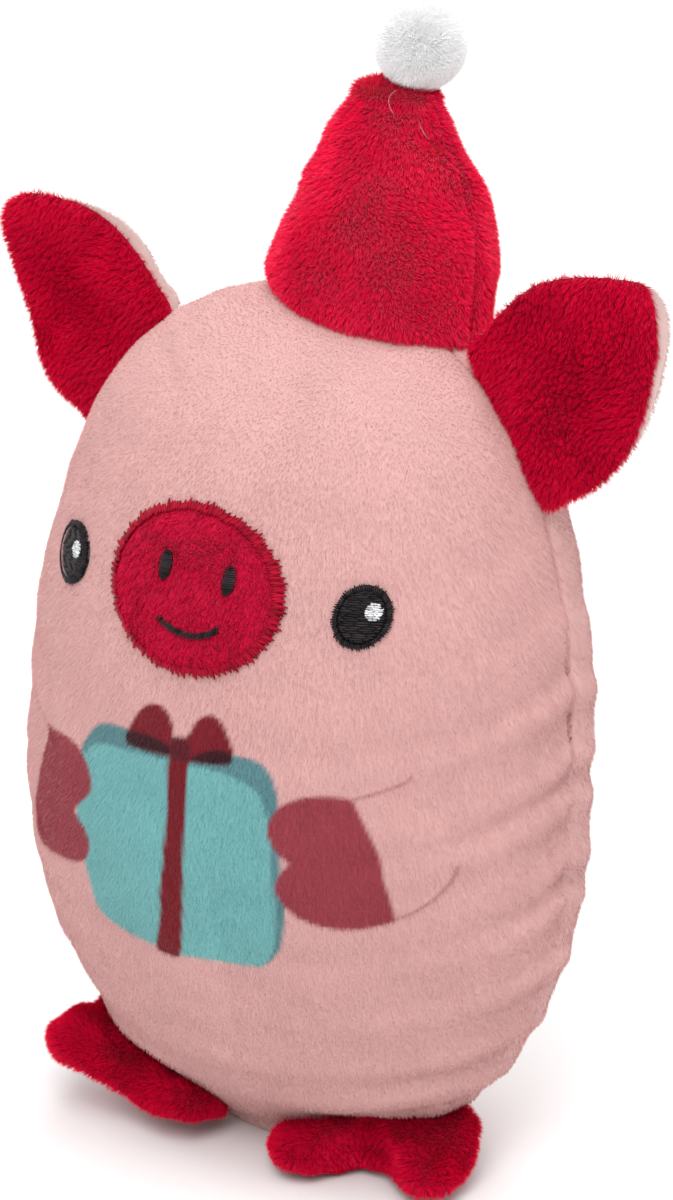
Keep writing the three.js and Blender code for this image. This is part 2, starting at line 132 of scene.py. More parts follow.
# %% Material tools
def add_node(tree, kind, settings=None, **sockets):
    """A node with its properties set, and its sockets set or linked by name or number."""
    node = tree.nodes.new(kind)
    for key, value in (settings or {}).items():
        setattr(node, key, value)
    for key, value in sockets.items():
        socket = node.inputs[int(key[1:])] if key[0] == "_" else node.inputs[key.replace("_", " ")]
        if isinstance(value, bpy.types.NodeSocket):
            tree.links.new(value, socket)
        else:
            socket.default_value = value
    return node


def start_finish(name, roughness, sheen=0.0, sheen_roughness=0.5, sheen_tint=(1, 1, 1), gloss=0.2):
    """A material with one shader, whose constant numbers are on its own sockets."""
    finish = bpy.data.materials.new(name)
    finish.use_nodes = True
    shader = finish.node_tree.nodes["Principled BSDF"]
    for key, value in (("Roughness", roughness), ("Specular IOR Level", gloss), ("Sheen Weight", sheen),
                       ("Sheen Roughness", sheen_roughness), ("Sheen Tint", (*sheen_tint, 1))):
        shader.inputs[key].default_value = value
    return finish, finish.node_tree, shader


def object_place(tree):
    return add_node(tree, "ShaderNodeTexCoord").outputs["Object"]


def patchy(tree, scale, detail=3.0):
    """Soft noise from 0 to 1 over a piece, at a scale in patches per metre."""
    noise = add_node(tree, "ShaderNodeTexNoise", Vector=object_place(tree), Scale=scale, Detail=detail)
    return noise.outputs["Fac"]


def stored(tree, name, output="Fac"):
    """A value kept on the mesh."""
    return add_node(tree, "ShaderNodeAttribute", {"attribute_name": name}).outputs[output]


def dye_colour(tree, dye):
    """One dye all over, or the dye kept on the mesh where none is given."""
    if dye is None:
        return stored(tree, "dye", "Color")
    colour = add_node(tree, "ShaderNodeRGB").outputs[0]
    colour.default_value = (*dye, 1)
    return colour


def vector_math(tree, operation, first, second):
    slot = "Scale" if operation == "SCALE" else "_1"
    node = add_node(tree, "ShaderNodeVectorMath", {"operation": operation}, _0=first, **{slot: second})
    return node.outputs[0]


def scaled(tree, share, low, high):
    """A share from 0 to 1 brought to a range."""
    return add_node(tree, "ShaderNodeMapRange", _0=share, _3=low, _4=high).outputs[0]


def lay_dye(tree, shader, dye, *shades):
    """Dyes a finish, darker and lighter by values kept on the mesh (a name) or by patches (a scale)."""
    colour = dye_colour(tree, dye)
    for source, dark, light in shades:
        share = stored(tree, source) if isinstance(source, str) else patchy(tree, source)
        colour = vector_math(tree, "SCALE", colour, scaled(tree, share, dark, light))
    tree.links.new(colour, shader.inputs["Base Color"])


def add_bump(tree, shader, height, strength, distance):
    bump = add_node(tree, "ShaderNodeBump", Height=height, Strength=strength, Distance=distance)
    tree.links.new(bump.outputs["Normal"], shader.inputs["Normal"])


# %% [markdown]
# ## Finishes
# A pile cloth has two layers: the knitted ground and the fibres that stand on it. Each fibre carries
# a tint of its own and a number that runs from root to tip, by which its colour is painted darker at
# the root and lighter at the tip: a painted shade and a painted light. The hat, the snout, and the
# ears with the feet take three copies of one red plush, each with its own lustre. The hat's copy is
# painted lighter, a painted light, and the snout's is darker and a little more purple, partly its own
# hue and partly painted shade. The pink cloth has no dye of its own here, since the print lays a dye
# on every point of it.

# %% Pile finishes
PINK, PALE_PINK, WHITE = (0.62, 0.358, 0.344), (0.66, 0.49, 0.465), (0.97, 0.97, 0.972)
# The hat's red is the plush's red painted lighter, a painted light; the snout's red is darker and a little more
# purple, partly its own hue and partly painted shade.
RED, HAT_RED_PAINTED_LIGHT, SNOUT_RED_HUE_AND_PAINTED_SHADE = (0.70, 0.001, 0.042), (0.86, 0.002, 0.066), (0.66, 0.003, 0.052)
PILE_SHEEN_ROUGHNESS, GROUND_ROUGHNESS, GROUND_SHEEN_ROUGHNESS = 0.4, 0.9, 0.5
SPECKS_PER_METRE, LOOP_PITCH, LOOP_BUMP, LOOP_HEIGHT = 1500.0, 0.0006, 0.35, 0.0004


def pile_finish(name, dye, roughness, sheen, sheen_tint, painted_root_shade, painted_tip_light, patches, contrast, gloss):
    """Fibres: the dye with a painted shade at the root and a painted light at the tip, a little different fibre
    by fibre and patchy over the cloth.
    """
    finish, tree, shader = start_finish(name, roughness, sheen, PILE_SHEEN_ROUGHNESS, sheen_tint, gloss)
    lay_dye(tree, shader, dye, ("along", painted_root_shade, painted_tip_light), ("tint", 1 - contrast, 1 + contrast),
            (patches, 1 - contrast, 1 + contrast))
    return finish


def ground_finish(name, dye, shade, sheen, sheen_tint, patches):
    """The ground under the fibres, with rows of tiny knitted loops."""
    finish, tree, shader = start_finish(name, GROUND_ROUGHNESS, sheen, GROUND_SHEEN_ROUGHNESS, sheen_tint)
    lay_dye(tree, shader, dye, (patches, shade * 0.9, shade * 1.08), (SPECKS_PER_METRE, 0.92, 1.06))
    add_bump(tree, shader, patchy(tree, 1 / LOOP_PITCH, 2.0), LOOP_BUMP, LOOP_HEIGHT)
    return finish


FINISH = {name: pile_finish(name, *row) for name, row in {
    # dye, roughness, sheen and its tint, painted shade at the root and painted light at the tip, patches per
    # metre, contrast, gloss
    "pink_nap": (None, 0.85, 0.2, (1, 0.82, 0.82), 0.98, 1.06, 120.0, 0.06, 0.2),
    "red_pile": (RED, 0.45, 0.16, (1, 0.16, 0.30), 0.56, 1.27, 110.0, 0.2, 0.1),
    # the hat's pile is painted lighter (painted light), the snout's darker and purpler (its hue and painted
    # shade)
    "red_pile_hat": (HAT_RED_PAINTED_LIGHT, 0.36, 0.5, (1, 0.34, 0.46), 0.6, 1.27, 60.0, 0.22, 0.3),
    "red_pile_snout": (SNOUT_RED_HUE_AND_PAINTED_SHADE, 0.5, 0.3, (1, 0.3, 0.42), 0.62, 1.2, 150.0, 0.24, 0.12),
    "white_fluff": (WHITE, 0.9, 0.45, (1, 1, 1), 0.99, 1.01, 200.0, 0.03, 0.2)}.items()}
FINISH |= {name: ground_finish(name, *row) for name, row in {
    # dye, shade, sheen and its tint, patches per metre
    "pink_velboa": (None, 0.97, 0.2, (1, 0.8, 0.78), 60.0),
    "red_ground": (RED, 0.72, 0.1, (1, 0.1, 0.2), 200.0),
    "white_core": (WHITE, 0.98, 0.1, (1, 1, 1), 200.0)}.items()}
print("pile finishes:", len(FINISH))

# %% [markdown]
# Embroidery thread is twisted rayon: smoother than the cloth, with a soft lustre that runs across
# the thread. A fine wave along the stitch stands for the twist.

# %% Thread finishes
TWISTS_PER_METRE, TWIST_BUMP, TWIST_HEIGHT, THREAD_PATCHES = 1400.0, 0.3, 0.0001, 900.0


def thread_finish(name, dye, roughness, gloss, dark, light):
    """Twisted thread, patchy in shade from stitch to stitch."""
    finish, tree, shader = start_finish(name, roughness, gloss=gloss)
    lay_dye(tree, shader, dye, ("tint", dark, light), (THREAD_PATCHES, 0.85, 1.1))
    twist = add_node(tree, "ShaderNodeTexWave", {"wave_type": "BANDS", "bands_direction": "DIAGONAL"},
                     Vector=object_place(tree), Scale=TWISTS_PER_METRE, Distortion=1.5)
    add_bump(tree, shader, twist.outputs["Fac"], TWIST_BUMP, TWIST_HEIGHT)
    return finish


FINISH |= {name: thread_finish(name, *row) for name, row in {
    # dye, roughness, gloss, shades of the darkest and the lightest stitch
    # The black thread's lightest stitches are painted up to three times its dye: a painted highlight on the
    # satin rows.
    "black_thread": ((0.009, 0.006, 0.007), 0.28, 0.18, 0.1, 3.0),
    "white_thread": ((0.60, 0.61, 0.62), 0.4, 0.3, 0.6, 1.35),
    "red_thread": ((0.31, 0.002, 0.018), 0.45, 0.08, 0.6, 1.35),
    "pink_thread": ((0.46, 0.21, 0.20), 0.6, 0.1, 0.6, 1.35)}.items()}
print("finishes:", len(FINISH))

# %% [markdown]
# ## The egg of the body
# The body is sewn from two panels that meet in one seam round both sides. Its outline is a squared
# oval in front view and a deeper one in side view, so one rule gives the half width and the depth at
# each height, and the same rule later places the face, the hat and the ears.

# %% The rule of the egg
BODY = {"half_width": 64.0, "front_depth": 49.0, "back_depth": 39.0, "belt": 78.0, "rise": 103.0, "drop": 81.0}
LEAN = 0.045
POWERS = {"width": (2.6, 2.12), "front": (2.0, 1.55), "back": (2.3, 2.2)}


def egg_share(z, powers):
    """The share of its full size that the egg keeps at a height."""
    above = z >= BODY["belt"]
    share = np.minimum(1, np.abs(z - BODY["belt"]) / np.where(above, BODY["rise"], BODY["drop"]))
    power = np.where(above, *powers)
    return np.maximum(0, 1 - share ** power) ** (1 / power)


def half_width(z):
    return BODY["half_width"] * egg_share(z, POWERS["width"])


def depth(z, front):
    deep = np.where(front, BODY["front_depth"], BODY["back_depth"])
    return deep * np.where(front, egg_share(z, POWERS["front"]), egg_share(z, POWERS["back"]))


def seam_y(z):
    return LEAN * (z - BODY["belt"])


def front_y(x, z):
    """Where the bare front of the egg is, for a place seen from the front."""
    across = np.minimum(1, np.abs(x) / np.maximum(half_width(z), 1e-6))
    return seam_y(z) - depth(z, True) * np.sqrt(1 - across ** 2)


def outside_body(points):
    """How far outside the egg points are, as a share of its size there. Negative is inside."""
    x, y, z = points[..., 0], points[..., 1], points[..., 2]
    across = x / np.maximum(half_width(z), 0.5)
    forward = (y - seam_y(z)) / np.maximum(depth(z, y < seam_y(z)), 0.5)
    inside_heights = (z > 0) & (z < BODY["belt"] + BODY["rise"])
    return np.where(inside_heights, np.sqrt(across ** 2 + forward ** 2) - 1, 1.0)


print("half width at the belt:", float(half_width(np.array(BODY["belt"]))), "mm")

# %% [markdown]
# ## Meshes from grids of points
# Skins are closed grids: rings of points from one end to the other. These helpers turn a grid into a
# mesh, merge the doubled points at its poles, and store what the pile needs at each point: the way
# it is combed, how dense it stands (cover) and how long it is (tall).

# %% Grid tools
MERGE_WITHIN = 2e-6


def smoothstep(low, high, value):
    share = np.clip((value - low) / (high - low), 0, 1)
    return share * share * (3 - 2 * share)


def bell(*gaps):
    """1 where all gaps are 0, and softly down to 0 round it."""
    return np.exp(-sum(gap ** 2 for gap in gaps))


def unit(vectors, least=1e-9):
    return vectors / np.maximum(np.linalg.norm(vectors, axis=-1, keepdims=True), least)


def waves(points, size, seed):
    """Smooth lumps from -1 to 1 of about a size, the same on every run."""
    rng = np.random.default_rng(seed)
    total = np.zeros(points.shape[:-1])
    for _ in range(7):
        way = unit(rng.normal(size=3))
        total += np.sin(points @ way * (2 * math.pi / size) * rng.uniform(0.7, 1.4) + rng.uniform(0, 6.28))
    return total / 3.5


def lumps(points, seed, *layers):
    """Lumps of the filling, in layers that are each so deep and so wide."""
    return sum(deep * waves(points, size, seed + i) for i, (deep, size) in enumerate(layers))


def dome_shares(count):
    """Shares from 0 to 1 that stand closer together towards 1, like rings seen from above a dome."""
    return np.sin(np.linspace(0, math.pi / 2, count))


def full_turn(count):
    """Angles once round."""
    return np.linspace(0, 2 * math.pi, count, endpoint=False)


def grid_faces(rows, columns):
    """Quads between rings of points, with the points in row order."""
    faces = []
    for start in range(0, (rows - 1) * columns, columns):
        for column in range(columns):
            after = (column + 1) % columns
            faces.append((start + column, start + after, start + columns + after, start + columns + column))
    return faces


def grid_normals(points):
    """Unit normals of a closed grid, from the steps along its rings and across them."""
    return unit(np.cross(np.roll(points, -1, 1) - np.roll(points, 1, 1), np.gradient(points, axis=0)))


def store(piece, name, values):
    """Keeps a number, a vector or a colour at each point of a piece."""
    mesh, values = piece.data, np.asarray(values, np.float32)
    kind, field = {1: ("FLOAT", "value"), 3: ("FLOAT_VECTOR", "vector"),
                   4: ("FLOAT_COLOR", "color")}[values.size // len(mesh.vertices)]
    if name not in mesh.attributes:
        mesh.attributes.new(name, kind, "POINT")
    mesh.attributes[name].data.foreach_set(field, values.ravel())


def mesh_piece(name, points, faces, values):
    """A mesh object in metres from points in millimetres, with named values on its points."""
    mesh = bpy.data.meshes.new(name)
    mesh.from_pydata((points.reshape(-1, 3) * MM).tolist(), [], faces)
    piece = new_object(name, mesh)
    for key, numbers in values.items():
        store(piece, key, numbers)
    return piece


def skin_piece(name, rows, finish, **values):
    """A smooth closed skin: doubled points at its poles merged, and its faces turned outwards."""
    piece = mesh_piece(name, rows, grid_faces(*rows.shape[:2]), values)
    work = bmesh.new()
    work.from_mesh(piece.data)
    bmesh.ops.remove_doubles(work, verts=work.verts, dist=MERGE_WITHIN)
    bmesh.ops.recalc_face_normals(work, faces=work.faces)
    work.to_mesh(piece.data)
    work.free()
    piece.data.shade_smooth()
    piece.data.materials.append(FINISH[finish])
    return piece


# %% [markdown]
# ## Pile by Geometry Nodes
# A pile is one short fibre repeated tens of thousands of times, so a node tree makes it. It scatters
# points over the cloth, leans each fibre the way the cloth is combed, pulls neighbours together into
# small tufts as real pile clumps, and keeps a tint for each fibre. The dye stored on a cloth goes along
# to the fibres that are rooted in it.

# %% The pile tree
def tree_with(name, **kinds):
    """A geometry node tree with named inputs, and its input and output sockets."""
    tree = bpy.data.node_groups.new(name, "GeometryNodeTree")
    for way in ("INPUT", "OUTPUT"):
        tree.interface.new_socket("Geometry", in_out=way, socket_type="NodeSocketGeometry")
    for key, kind in kinds.items():
        tree.interface.new_socket(key, in_out="INPUT", socket_type="NodeSocket" + kind)
    return tree, tree.nodes.new("NodeGroupInput").outputs, tree.nodes.new("NodeGroupOutput").inputs


def number_math(tree, operation, first, second):
    return add_node(tree, "ShaderNodeMath", {"operation": operation}, _0=first, _1=second).outputs[0]


def random_number(tree, low, high, seed):
    return add_node(tree, "FunctionNodeRandomValue", {"data_type": "FLOAT"},
                    _2=low, _3=high, Seed=seed).outputs[1]


def named(tree, name, kind):
    return add_node(tree, "GeometryNodeInputNamedAttribute", {"data_type": kind}, Name=name).outputs[0]


def keep_value(tree, geometry, name, value, domain="INSTANCE"):
    return add_node(tree, "GeometryNodeStoreNamedAttribute", {"data_type": "FLOAT", "domain": domain},
                    Geometry=geometry, Name=name, Value=value).outputs[0]


def turned_to(tree, way, **sockets):
    return add_node(tree, "FunctionNodeAlignRotationToVector", {"axis": "Z"},
                    Vector=way, **sockets).outputs[0]


def laid(tree, points, shape, turn, size):
    """Copies of a shape on points, turned and sized."""
    return add_node(tree, "GeometryNodeInstanceOnPoints", Points=points, Instance=shape,
                    Rotation=turn, Scale=size).outputs[0]


def realised(tree, copies, finish):
    real = add_node(tree, "GeometryNodeRealizeInstances", Geometry=copies).outputs[0]
    return add_node(tree, "GeometryNodeSetMaterial", Geometry=real, Material=finish).outputs[0]


def pile_tree():
    """Scatter, lean, tuft, tint, realise."""
    tree, given, result = tree_with(
        "pile", Density="Float", Length="Float", Width="Float", Lean="Float", Tuft="Float", Pull="Float",
        Stray="Float", Seed="Int", Finish="Material")
    density = number_math(tree, "MULTIPLY", given["Density"], named(tree, "cover", "FLOAT"))
    scatter = add_node(tree, "GeometryNodeDistributePointsOnFaces", Mesh=given["Geometry"],
                       Density=density, Seed=given["Seed"])
    place = add_node(tree, "GeometryNodeInputPosition").outputs[0]
    cells = add_node(tree, "ShaderNodeTexVoronoi", Vector=place,
                     Scale=number_math(tree, "DIVIDE", 1.0, given["Tuft"]))
    to_tuft = vector_math(tree, "SUBTRACT", cells.outputs["Position"], place)
    stray = add_node(tree, "FunctionNodeRandomValue", {"data_type": "FLOAT_VECTOR"},
                     _0=(-1, -1, -1), _1=(1, 1, 1), Seed=3).outputs[0]
    way = scatter.outputs["Normal"]
    for lean, share in ((named(tree, "comb", "FLOAT_VECTOR"), given["Lean"]),
                        (to_tuft, number_math(tree, "DIVIDE", given["Pull"], given["Tuft"])),
                        (stray, given["Stray"])):
        way = vector_math(tree, "ADD", way, vector_math(tree, "SCALE", lean, share))
    spin = add_node(tree, "ShaderNodeCombineXYZ", Z=random_number(tree, 0.0, 6.28, 7)).outputs[0]
    fibre = add_node(tree, "GeometryNodeMeshCone", {"fill_type": "NONE"}, Vertices=3,
                     Radius_Bottom=given["Width"], Depth=given["Length"]).outputs["Mesh"]
    height = add_node(tree, "ShaderNodeSeparateXYZ", Vector=place).outputs["Z"]
    # The finishes paint each fibre darker at its root and lighter at its tip by this value: painted shade and
    # painted light.
    along = number_math(tree, "DIVIDE", height, given["Length"])
    fibre = keep_value(tree, fibre, "along", along, "POINT")
    tall = number_math(tree, "MULTIPLY", named(tree, "tall", "FLOAT"), random_number(tree, 0.65, 1.1, 11))
    size = add_node(tree, "ShaderNodeCombineXYZ", X=1.0, Y=1.0, Z=tall).outputs[0]
    fibres = laid(tree, scatter.outputs["Points"], fibre, turned_to(tree, way, Rotation=spin), size)
    fibres = keep_value(tree, fibres, "tint", random_number(tree, 0.0, 1.0, 13))
    tree.links.new(realised(tree, fibres, given["Finish"]), result["Geometry"])
    return tree


def run_tree(piece, tree, name, **values):
    """Runs a tree on a piece with its named inputs, and returns the result as a plain mesh object."""
    modifier = piece.modifiers.new(tree.name, "NODES")
    modifier.node_group = tree
    for socket in tree.interface.items_tree:
        if socket.in_out == "INPUT" and socket.name in values:
            modifier[socket.identifier] = values[socket.name]
    mesh = bpy.data.meshes.new_from_object(piece.evaluated_get(bpy.context.evaluated_depsgraph_get()))
    mesh.name = name
    piece.modifiers.remove(modifier)
    return new_object(name, mesh)


PILE = pile_tree()
PILES = {  # finish, length and width in millimetres, lean, size and pull of the tufts, stray
    "body_nap": ("pink_nap", 1.05, 0.085, 1.35, 1.6, 0.08, 0.22),
    "ear_nap": ("pink_nap", 1.3, 0.08, 0.9, 1.3, 0.3, 0.25),
    "plush": ("red_pile", 1.9, 0.095, 0.75, 1.3, 0.5, 0.25),
    "hat_plush": ("red_pile_hat", 1.9, 0.1, 0.8, 1.2, 0.4, 0.25),
    "snout_plush": ("red_pile_snout", 1.35, 0.09, 0.95, 1.5, 0.6, 0.25),
    "fluff": ("white_fluff", 1.9, 0.12, 0.0, 0.9, 0.3, 0.75)}


def lay_pile(name, cloth, kind, per_mm2, seed):
    """A pile on a cloth, with so many fibres per square millimetre."""
    finish, length, width, lean, tuft, pull, stray = PILES[kind]
    pile = run_tree(cloth, PILE, name, Density=per_mm2 * 1e6, Length=length * MM, Width=width * MM, Lean=lean,
                    Tuft=tuft * MM, Pull=pull, Stray=stray, Seed=seed, Finish=FINISH[finish])
    print(f"{name}: {len(pile.data.polygons)} faces")
    return pile


# %% [markdown]
# ## The print
# The gift, its ribbon and bow, the two trotters that hold it and the thin arm lines are printed on
# the front panel before it is sewn. Each shape is an outline in millimetres seen from the front. The
# dye at a place is the colour of the topmost outline round it, with an edge as soft as a print has on
# a napped cloth. The cloth keeps its dye point by point.

# %% The print
PRINT_EDGE = 0.3
PRINT = {  # dye, outline
    "shade": ((0.098, 0.225, 0.245), [
        (-26, 91), (-24.5, 94), (-22.5, 96.6), (-20, 98), (-15, 98.8), (0, 99.2), (14, 99), (19, 98.6),
        (21.5, 97.2), (23, 95), (24, 91), (25, 80), (25.3, 70), (24.9, 64), (23.5, 59.5), (21, 56),
        (18.5, 54.2), (12, 53.5), (0, 52.9), (-10, 53.4), (-18, 54), (-22, 55.5), (-23.8, 58.5),
        (-24.6, 64), (-25.6, 70), (-26.2, 80)]),
    "wrap": ((0.164, 0.402, 0.406), [
        (-26.3, 90), (-24.6, 90.6), (-23, 92.5), (-20.5, 93.8), (-15, 94.5), (-5, 95.2), (5, 95.4),
        (12, 95), (17, 94), (19.8, 92.3), (21.4, 89), (22.5, 85), (23.3, 78), (23.5, 70), (23.1, 64),
        (22.2, 59.5), (20.4, 56), (18, 54), (12, 53.4), (0, 52.8), (-10, 53.3), (-18, 53.9),
        (-22, 55.4), (-23.9, 58.5), (-24.7, 64), (-25.7, 70), (-26.3, 80)]),
    "ribbon": ((0.168, 0.006, 0.013), [
        (-0.5, 97), (-0.5, 88), (-0.8, 80), (-1.6, 74), (-2.6, 68), (-3.6, 62), (-5, 57), (-6.8, 52.6),
        (-4, 51.8), (-0.8, 52), (0.4, 55), (1.3, 60), (2.4, 66), (3.2, 73), (3.8, 80), (4, 88), (3.8, 97)]),
    "bow_left": ((0.185, 0.008, 0.018), [
        (-0.2, 99.6), (-0.4, 101.5), (-1.2, 103.8), (-3, 105.4), (-5.2, 105.8), (-7.6, 105), (-9.8, 103),
        (-11.4, 100.5), (-12.8, 97.5), (-12.4, 96.3), (-8, 96), (-3, 96.2), (-0.4, 96.4)]),
    "bow_left_fold": ((0.035, 0.005, 0.009), [
        (-12.8, 97.2), (-12.2, 98.6), (-9, 99.1), (-5, 99), (-0.8, 98.2), (-0.6, 96.5), (-5, 96.1),
        (-10, 95.9), (-12.6, 96.2)]),
    "bow_right": ((0.185, 0.008, 0.018), [
        (2.4, 99.8), (3.6, 101.6), (4.8, 104), (6.6, 105.6), (8.6, 106.1), (10.6, 105), (12.2, 102.6),
        (13.4, 100.2), (13.8, 98.6), (13, 97.1), (10, 96.6), (6, 96.2), (3.8, 96.3)]),
    "bow_right_fold": ((0.035, 0.005, 0.009), [
        (13.8, 98.4), (13, 99.3), (10.5, 99.4), (8, 98.8), (5.5, 97.5), (4.2, 96.3), (8, 96.2),
        (11, 96.6), (13.2, 97.1)]),
    "knot": ((0.095, 0.008, 0.014), [
        (0, 100.2), (2.5, 100.3), (4, 98.5), (4, 96), (-0.6, 96), (-0.6, 98.5)]),
    "trotter_left": ((0.290, 0.041, 0.058), [
        (22.2, 84.9), (22.6, 87.2), (24, 89.6), (26.5, 91.4), (29.5, 92.7), (33, 93.2), (36, 93),
        (37.8, 92.6), (39.5, 89.5), (41.5, 85), (43, 80), (44, 75), (44.7, 70), (44.8, 67.2), (42, 66),
        (38.5, 65.2), (35, 65), (31, 65.7), (27.5, 67.3), (25, 69.6), (24, 72), (24.3, 74.5),
        (25.5, 76.8), (26.7, 78.7), (25, 80), (23.3, 82)]),
    "trotter_right": ((0.290, 0.041, 0.058), [
        (-22, 84), (-22.6, 86.5), (-24, 88.7), (-26, 90.5), (-29, 91.7), (-33, 92.2), (-37, 92),
        (-39.3, 91.6), (-40.3, 88), (-42.2, 84), (-43.8, 80), (-45.2, 76), (-46.4, 72), (-47.6, 68),
        (-48, 65.5), (-45, 64.2), (-42, 64.1), (-37, 64.3), (-32, 64.8), (-28, 65.8), (-25, 67.6),
        (-23.4, 70), (-23.2, 72.5), (-24, 75), (-26, 76.5), (-27.3, 77.8), (-25.5, 80), (-23.5, 81.8)]),
}
ARM_LINE = (0.40, 0.17, 0.165)
ARM_LINE_WIDTH = 0.5
ARM_LINES = [
    [(37.8, 92.7), (41, 93.8), (44.5, 95.3), (46.6, 96.6), (46.9, 97.6)],
    [(44.7, 67.4), (48, 69), (51, 71.5), (53.5, 75), (54.8, 78.5)],
    [(-39.2, 91.7), (-42.5, 92.9), (-46, 94.5), (-48.6, 96)],
    [(-47.8, 66), (-51, 68.4), (-53.6, 72), (-55.2, 76)],
]


def segment_distance(x, z, start, end):
    """The distance from places to a straight stretch."""
    run = np.subtract(end, start)
    share = np.clip(((x - start[0]) * run[0] + (z - start[1]) * run[1]) / (run @ run), 0, 1)
    return np.hypot(x - start[0] - share * run[0], z - start[1] - share * run[1])


def smooth_loop(points, count):
    """A closed smooth curve through points."""
    corners = np.array(points, float)
    share = np.arange(count) / count * len(corners)
    i = share.astype(int)
    t = (share - i)[:, None]
    a, b, c, d = (corners[(i + step) % len(corners)] for step in (-1, 0, 1, 2))
    return 0.5 * (2 * b + (c - a) * t + (2 * a - 5 * b + 4 * c - d) * t ** 2 + (3 * b - a - 3 * c + d) * t ** 3)


def cover_of(outline, x, z):
    """1 inside an outline, 0 outside, with a soft edge."""
    loop = smooth_loop(outline, 3 * len(outline))
    low, high = loop.min(0) - 1, loop.max(0) + 1
    near = np.flatnonzero((x > low[0]) & (x < high[0]) & (z > low[1]) & (z < high[1]))
    cover = np.zeros(len(x))
    px, pz = x[near], z[near]
    inside = np.zeros(len(near), bool)
    nearest = np.full(len(near), 9.0)
    for start, end in zip(loop, np.roll(loop, -1, 0)):
        nearest = np.minimum(nearest, segment_distance(px, pz, start, end))
        crosses = (start[1] > pz) != (end[1] > pz)
        slope = (end[0] - start[0]) / (end[1] - start[1] if end[1] != start[1] else 1e-9)
        inside ^= crosses & (px < start[0] + (pz - start[1]) * slope)
    cover[near] = np.clip(0.5 + np.where(inside, nearest, -nearest) / (2 * PRINT_EDGE), 0, 1)
    return cover


def dye_at(points):
    """The dye of the pink cloth at places, as a colour for each."""
    x, y, z = points[:, 0], points[:, 1], points[:, 2]
    dye = np.tile(np.array(PINK), (len(x), 1))
    front = y < seam_y(z)
    for line in ARM_LINES:
        gap = np.min([segment_distance(x, z, a, b) for a, b in zip(line, line[1:])], axis=0)
        share = (front * np.clip(1 - gap / ARM_LINE_WIDTH, 0, 1))[:, None]
        dye = dye * (1 - share) + np.array(ARM_LINE) * share
    for colour, outline in PRINT.values():
        share = (cover_of(outline, x, z) * front)[:, None]
        dye = dye * (1 - share) + np.array(colour) * share
    return np.column_stack([dye, np.ones(len(dye))])


print("printed shapes:", len(PRINT), "and arm lines:", len(ARM_LINES))

# %% [markdown]
# ## The stuffed body
# The filling swells the two panels into one egg. The side seam pulls in a narrow groove, and because
# the seam thread is shorter than the cloth round it, the cloth ripples on both sides of it. Rows of
# points stand closer where the print is, so that its edges stay sharp.

# %% The body's skin
PRINT_LOW, PRINT_HIGH, PRINT_PITCH, PLAIN_PITCH = 48.0, 110.0, 0.62, 1.25
FRONT_COLUMNS, BACK_COLUMNS, FLAT_ROWS = 290, 110, 4
CLOSING = (94.0, 113.0)
RIPPLE, RIPPLE_PITCH, FINE_RIPPLE, FINE_PITCH, RIPPLE_SLANT = 0.95, 12.0, 0.35, 7.3, 0.32
RIPPLE_REACH = {"front": 19.0, "back": 13.0}
# The folds above each foot: how far out and up, how wide and high, and how deep.
FOOT_FOLDS = [(38, 17.5, 13, 1.9, 1.8), (37, 22, 13, 2.4, -1.2), (44, 26.5, 9, 1.8, 0.8)]
FOOT_CORNER, FOOT_FOLD_SLOPE, FOOT_HOLLOW = 38, 0.22, 3.4
FACE_QUIET, FRONT_TUCK = 0.75, 1.8


def egg_rows():
    """Heights and spreads of the rows, from the middle of the flat base to the crown."""
    flat = math.asin(BODY["belt"] / BODY["drop"])
    below = BODY["belt"] - BODY["drop"] * np.sin(np.linspace(flat, 0, 900, endpoint=False))
    above = BODY["belt"] + BODY["rise"] * np.sin(np.linspace(0, math.pi / 2, 1100))
    z = np.concatenate([below, above])
    step = np.hypot(np.diff(z), np.diff((half_width(z) + depth(z, True)) / 2))
    middle = (z[1:] + z[:-1]) / 2
    pitch = np.where((middle > PRINT_LOW) & (middle < PRINT_HIGH), PRINT_PITCH, PLAIN_PITCH)
    count = np.concatenate([[0], np.cumsum(step / pitch)])
    levels = np.interp(np.linspace(0, count[-1], int(count[-1])), count, z)
    spreads = np.concatenate([np.arange(FLAT_ROWS) / FLAT_ROWS, np.ones(len(levels))])
    spreads[-1] = 0
    return np.concatenate([np.zeros(FLAT_ROWS), levels]), spreads


def seam_ripple(x, z, behind):
    """How far the cloth stands out or in beside the side seam. Behind is how far it is behind the seam."""
    phase = np.where(x > 0, 0.0, 1.9)
    slanted = z + RIPPLE_SLANT * np.abs(behind)
    ripple = np.sin(slanted * 2 * math.pi / RIPPLE_PITCH + 0.9 * np.sin(z / 13.0 + phase) + phase)
    ripple += FINE_RIPPLE * np.sin(slanted * 2 * math.pi / FINE_PITCH + 2.0 * phase + 1.0)
    strength = smoothstep(6, 24, z) * (1 - 0.72 * smoothstep(104, 132, z)) * (1 - smoothstep(150, 165, z))
    reach = np.where(behind < 0, RIPPLE_REACH["front"], RIPPLE_REACH["back"])
    return RIPPLE * ripple * strength * np.exp(-np.abs(behind) / reach)


def seam_groove(x, z, behind):
    """How deep the seam thread pulls the cloth in."""
    low, high = CLOSING
    closing = smoothstep(low - 4, low + 2, z) * (1 - smoothstep(high + 1, high + 8, z))
    deep = 0.3 + 0.5 * smoothstep(86, 112, z) + 1.2 * closing * (x > 0)
    return smoothstep(2, 10, z) * (deep * bell(behind / 0.75) + 0.3 * np.exp(-np.abs(behind) / 5))


def over_left_foot(x, z):
    """1 in the middle of the hollow that the plump left foot presses into the body, and 0 outside it."""
    return bell((x - 27) / 12, (z - 8.5) / 5.5)


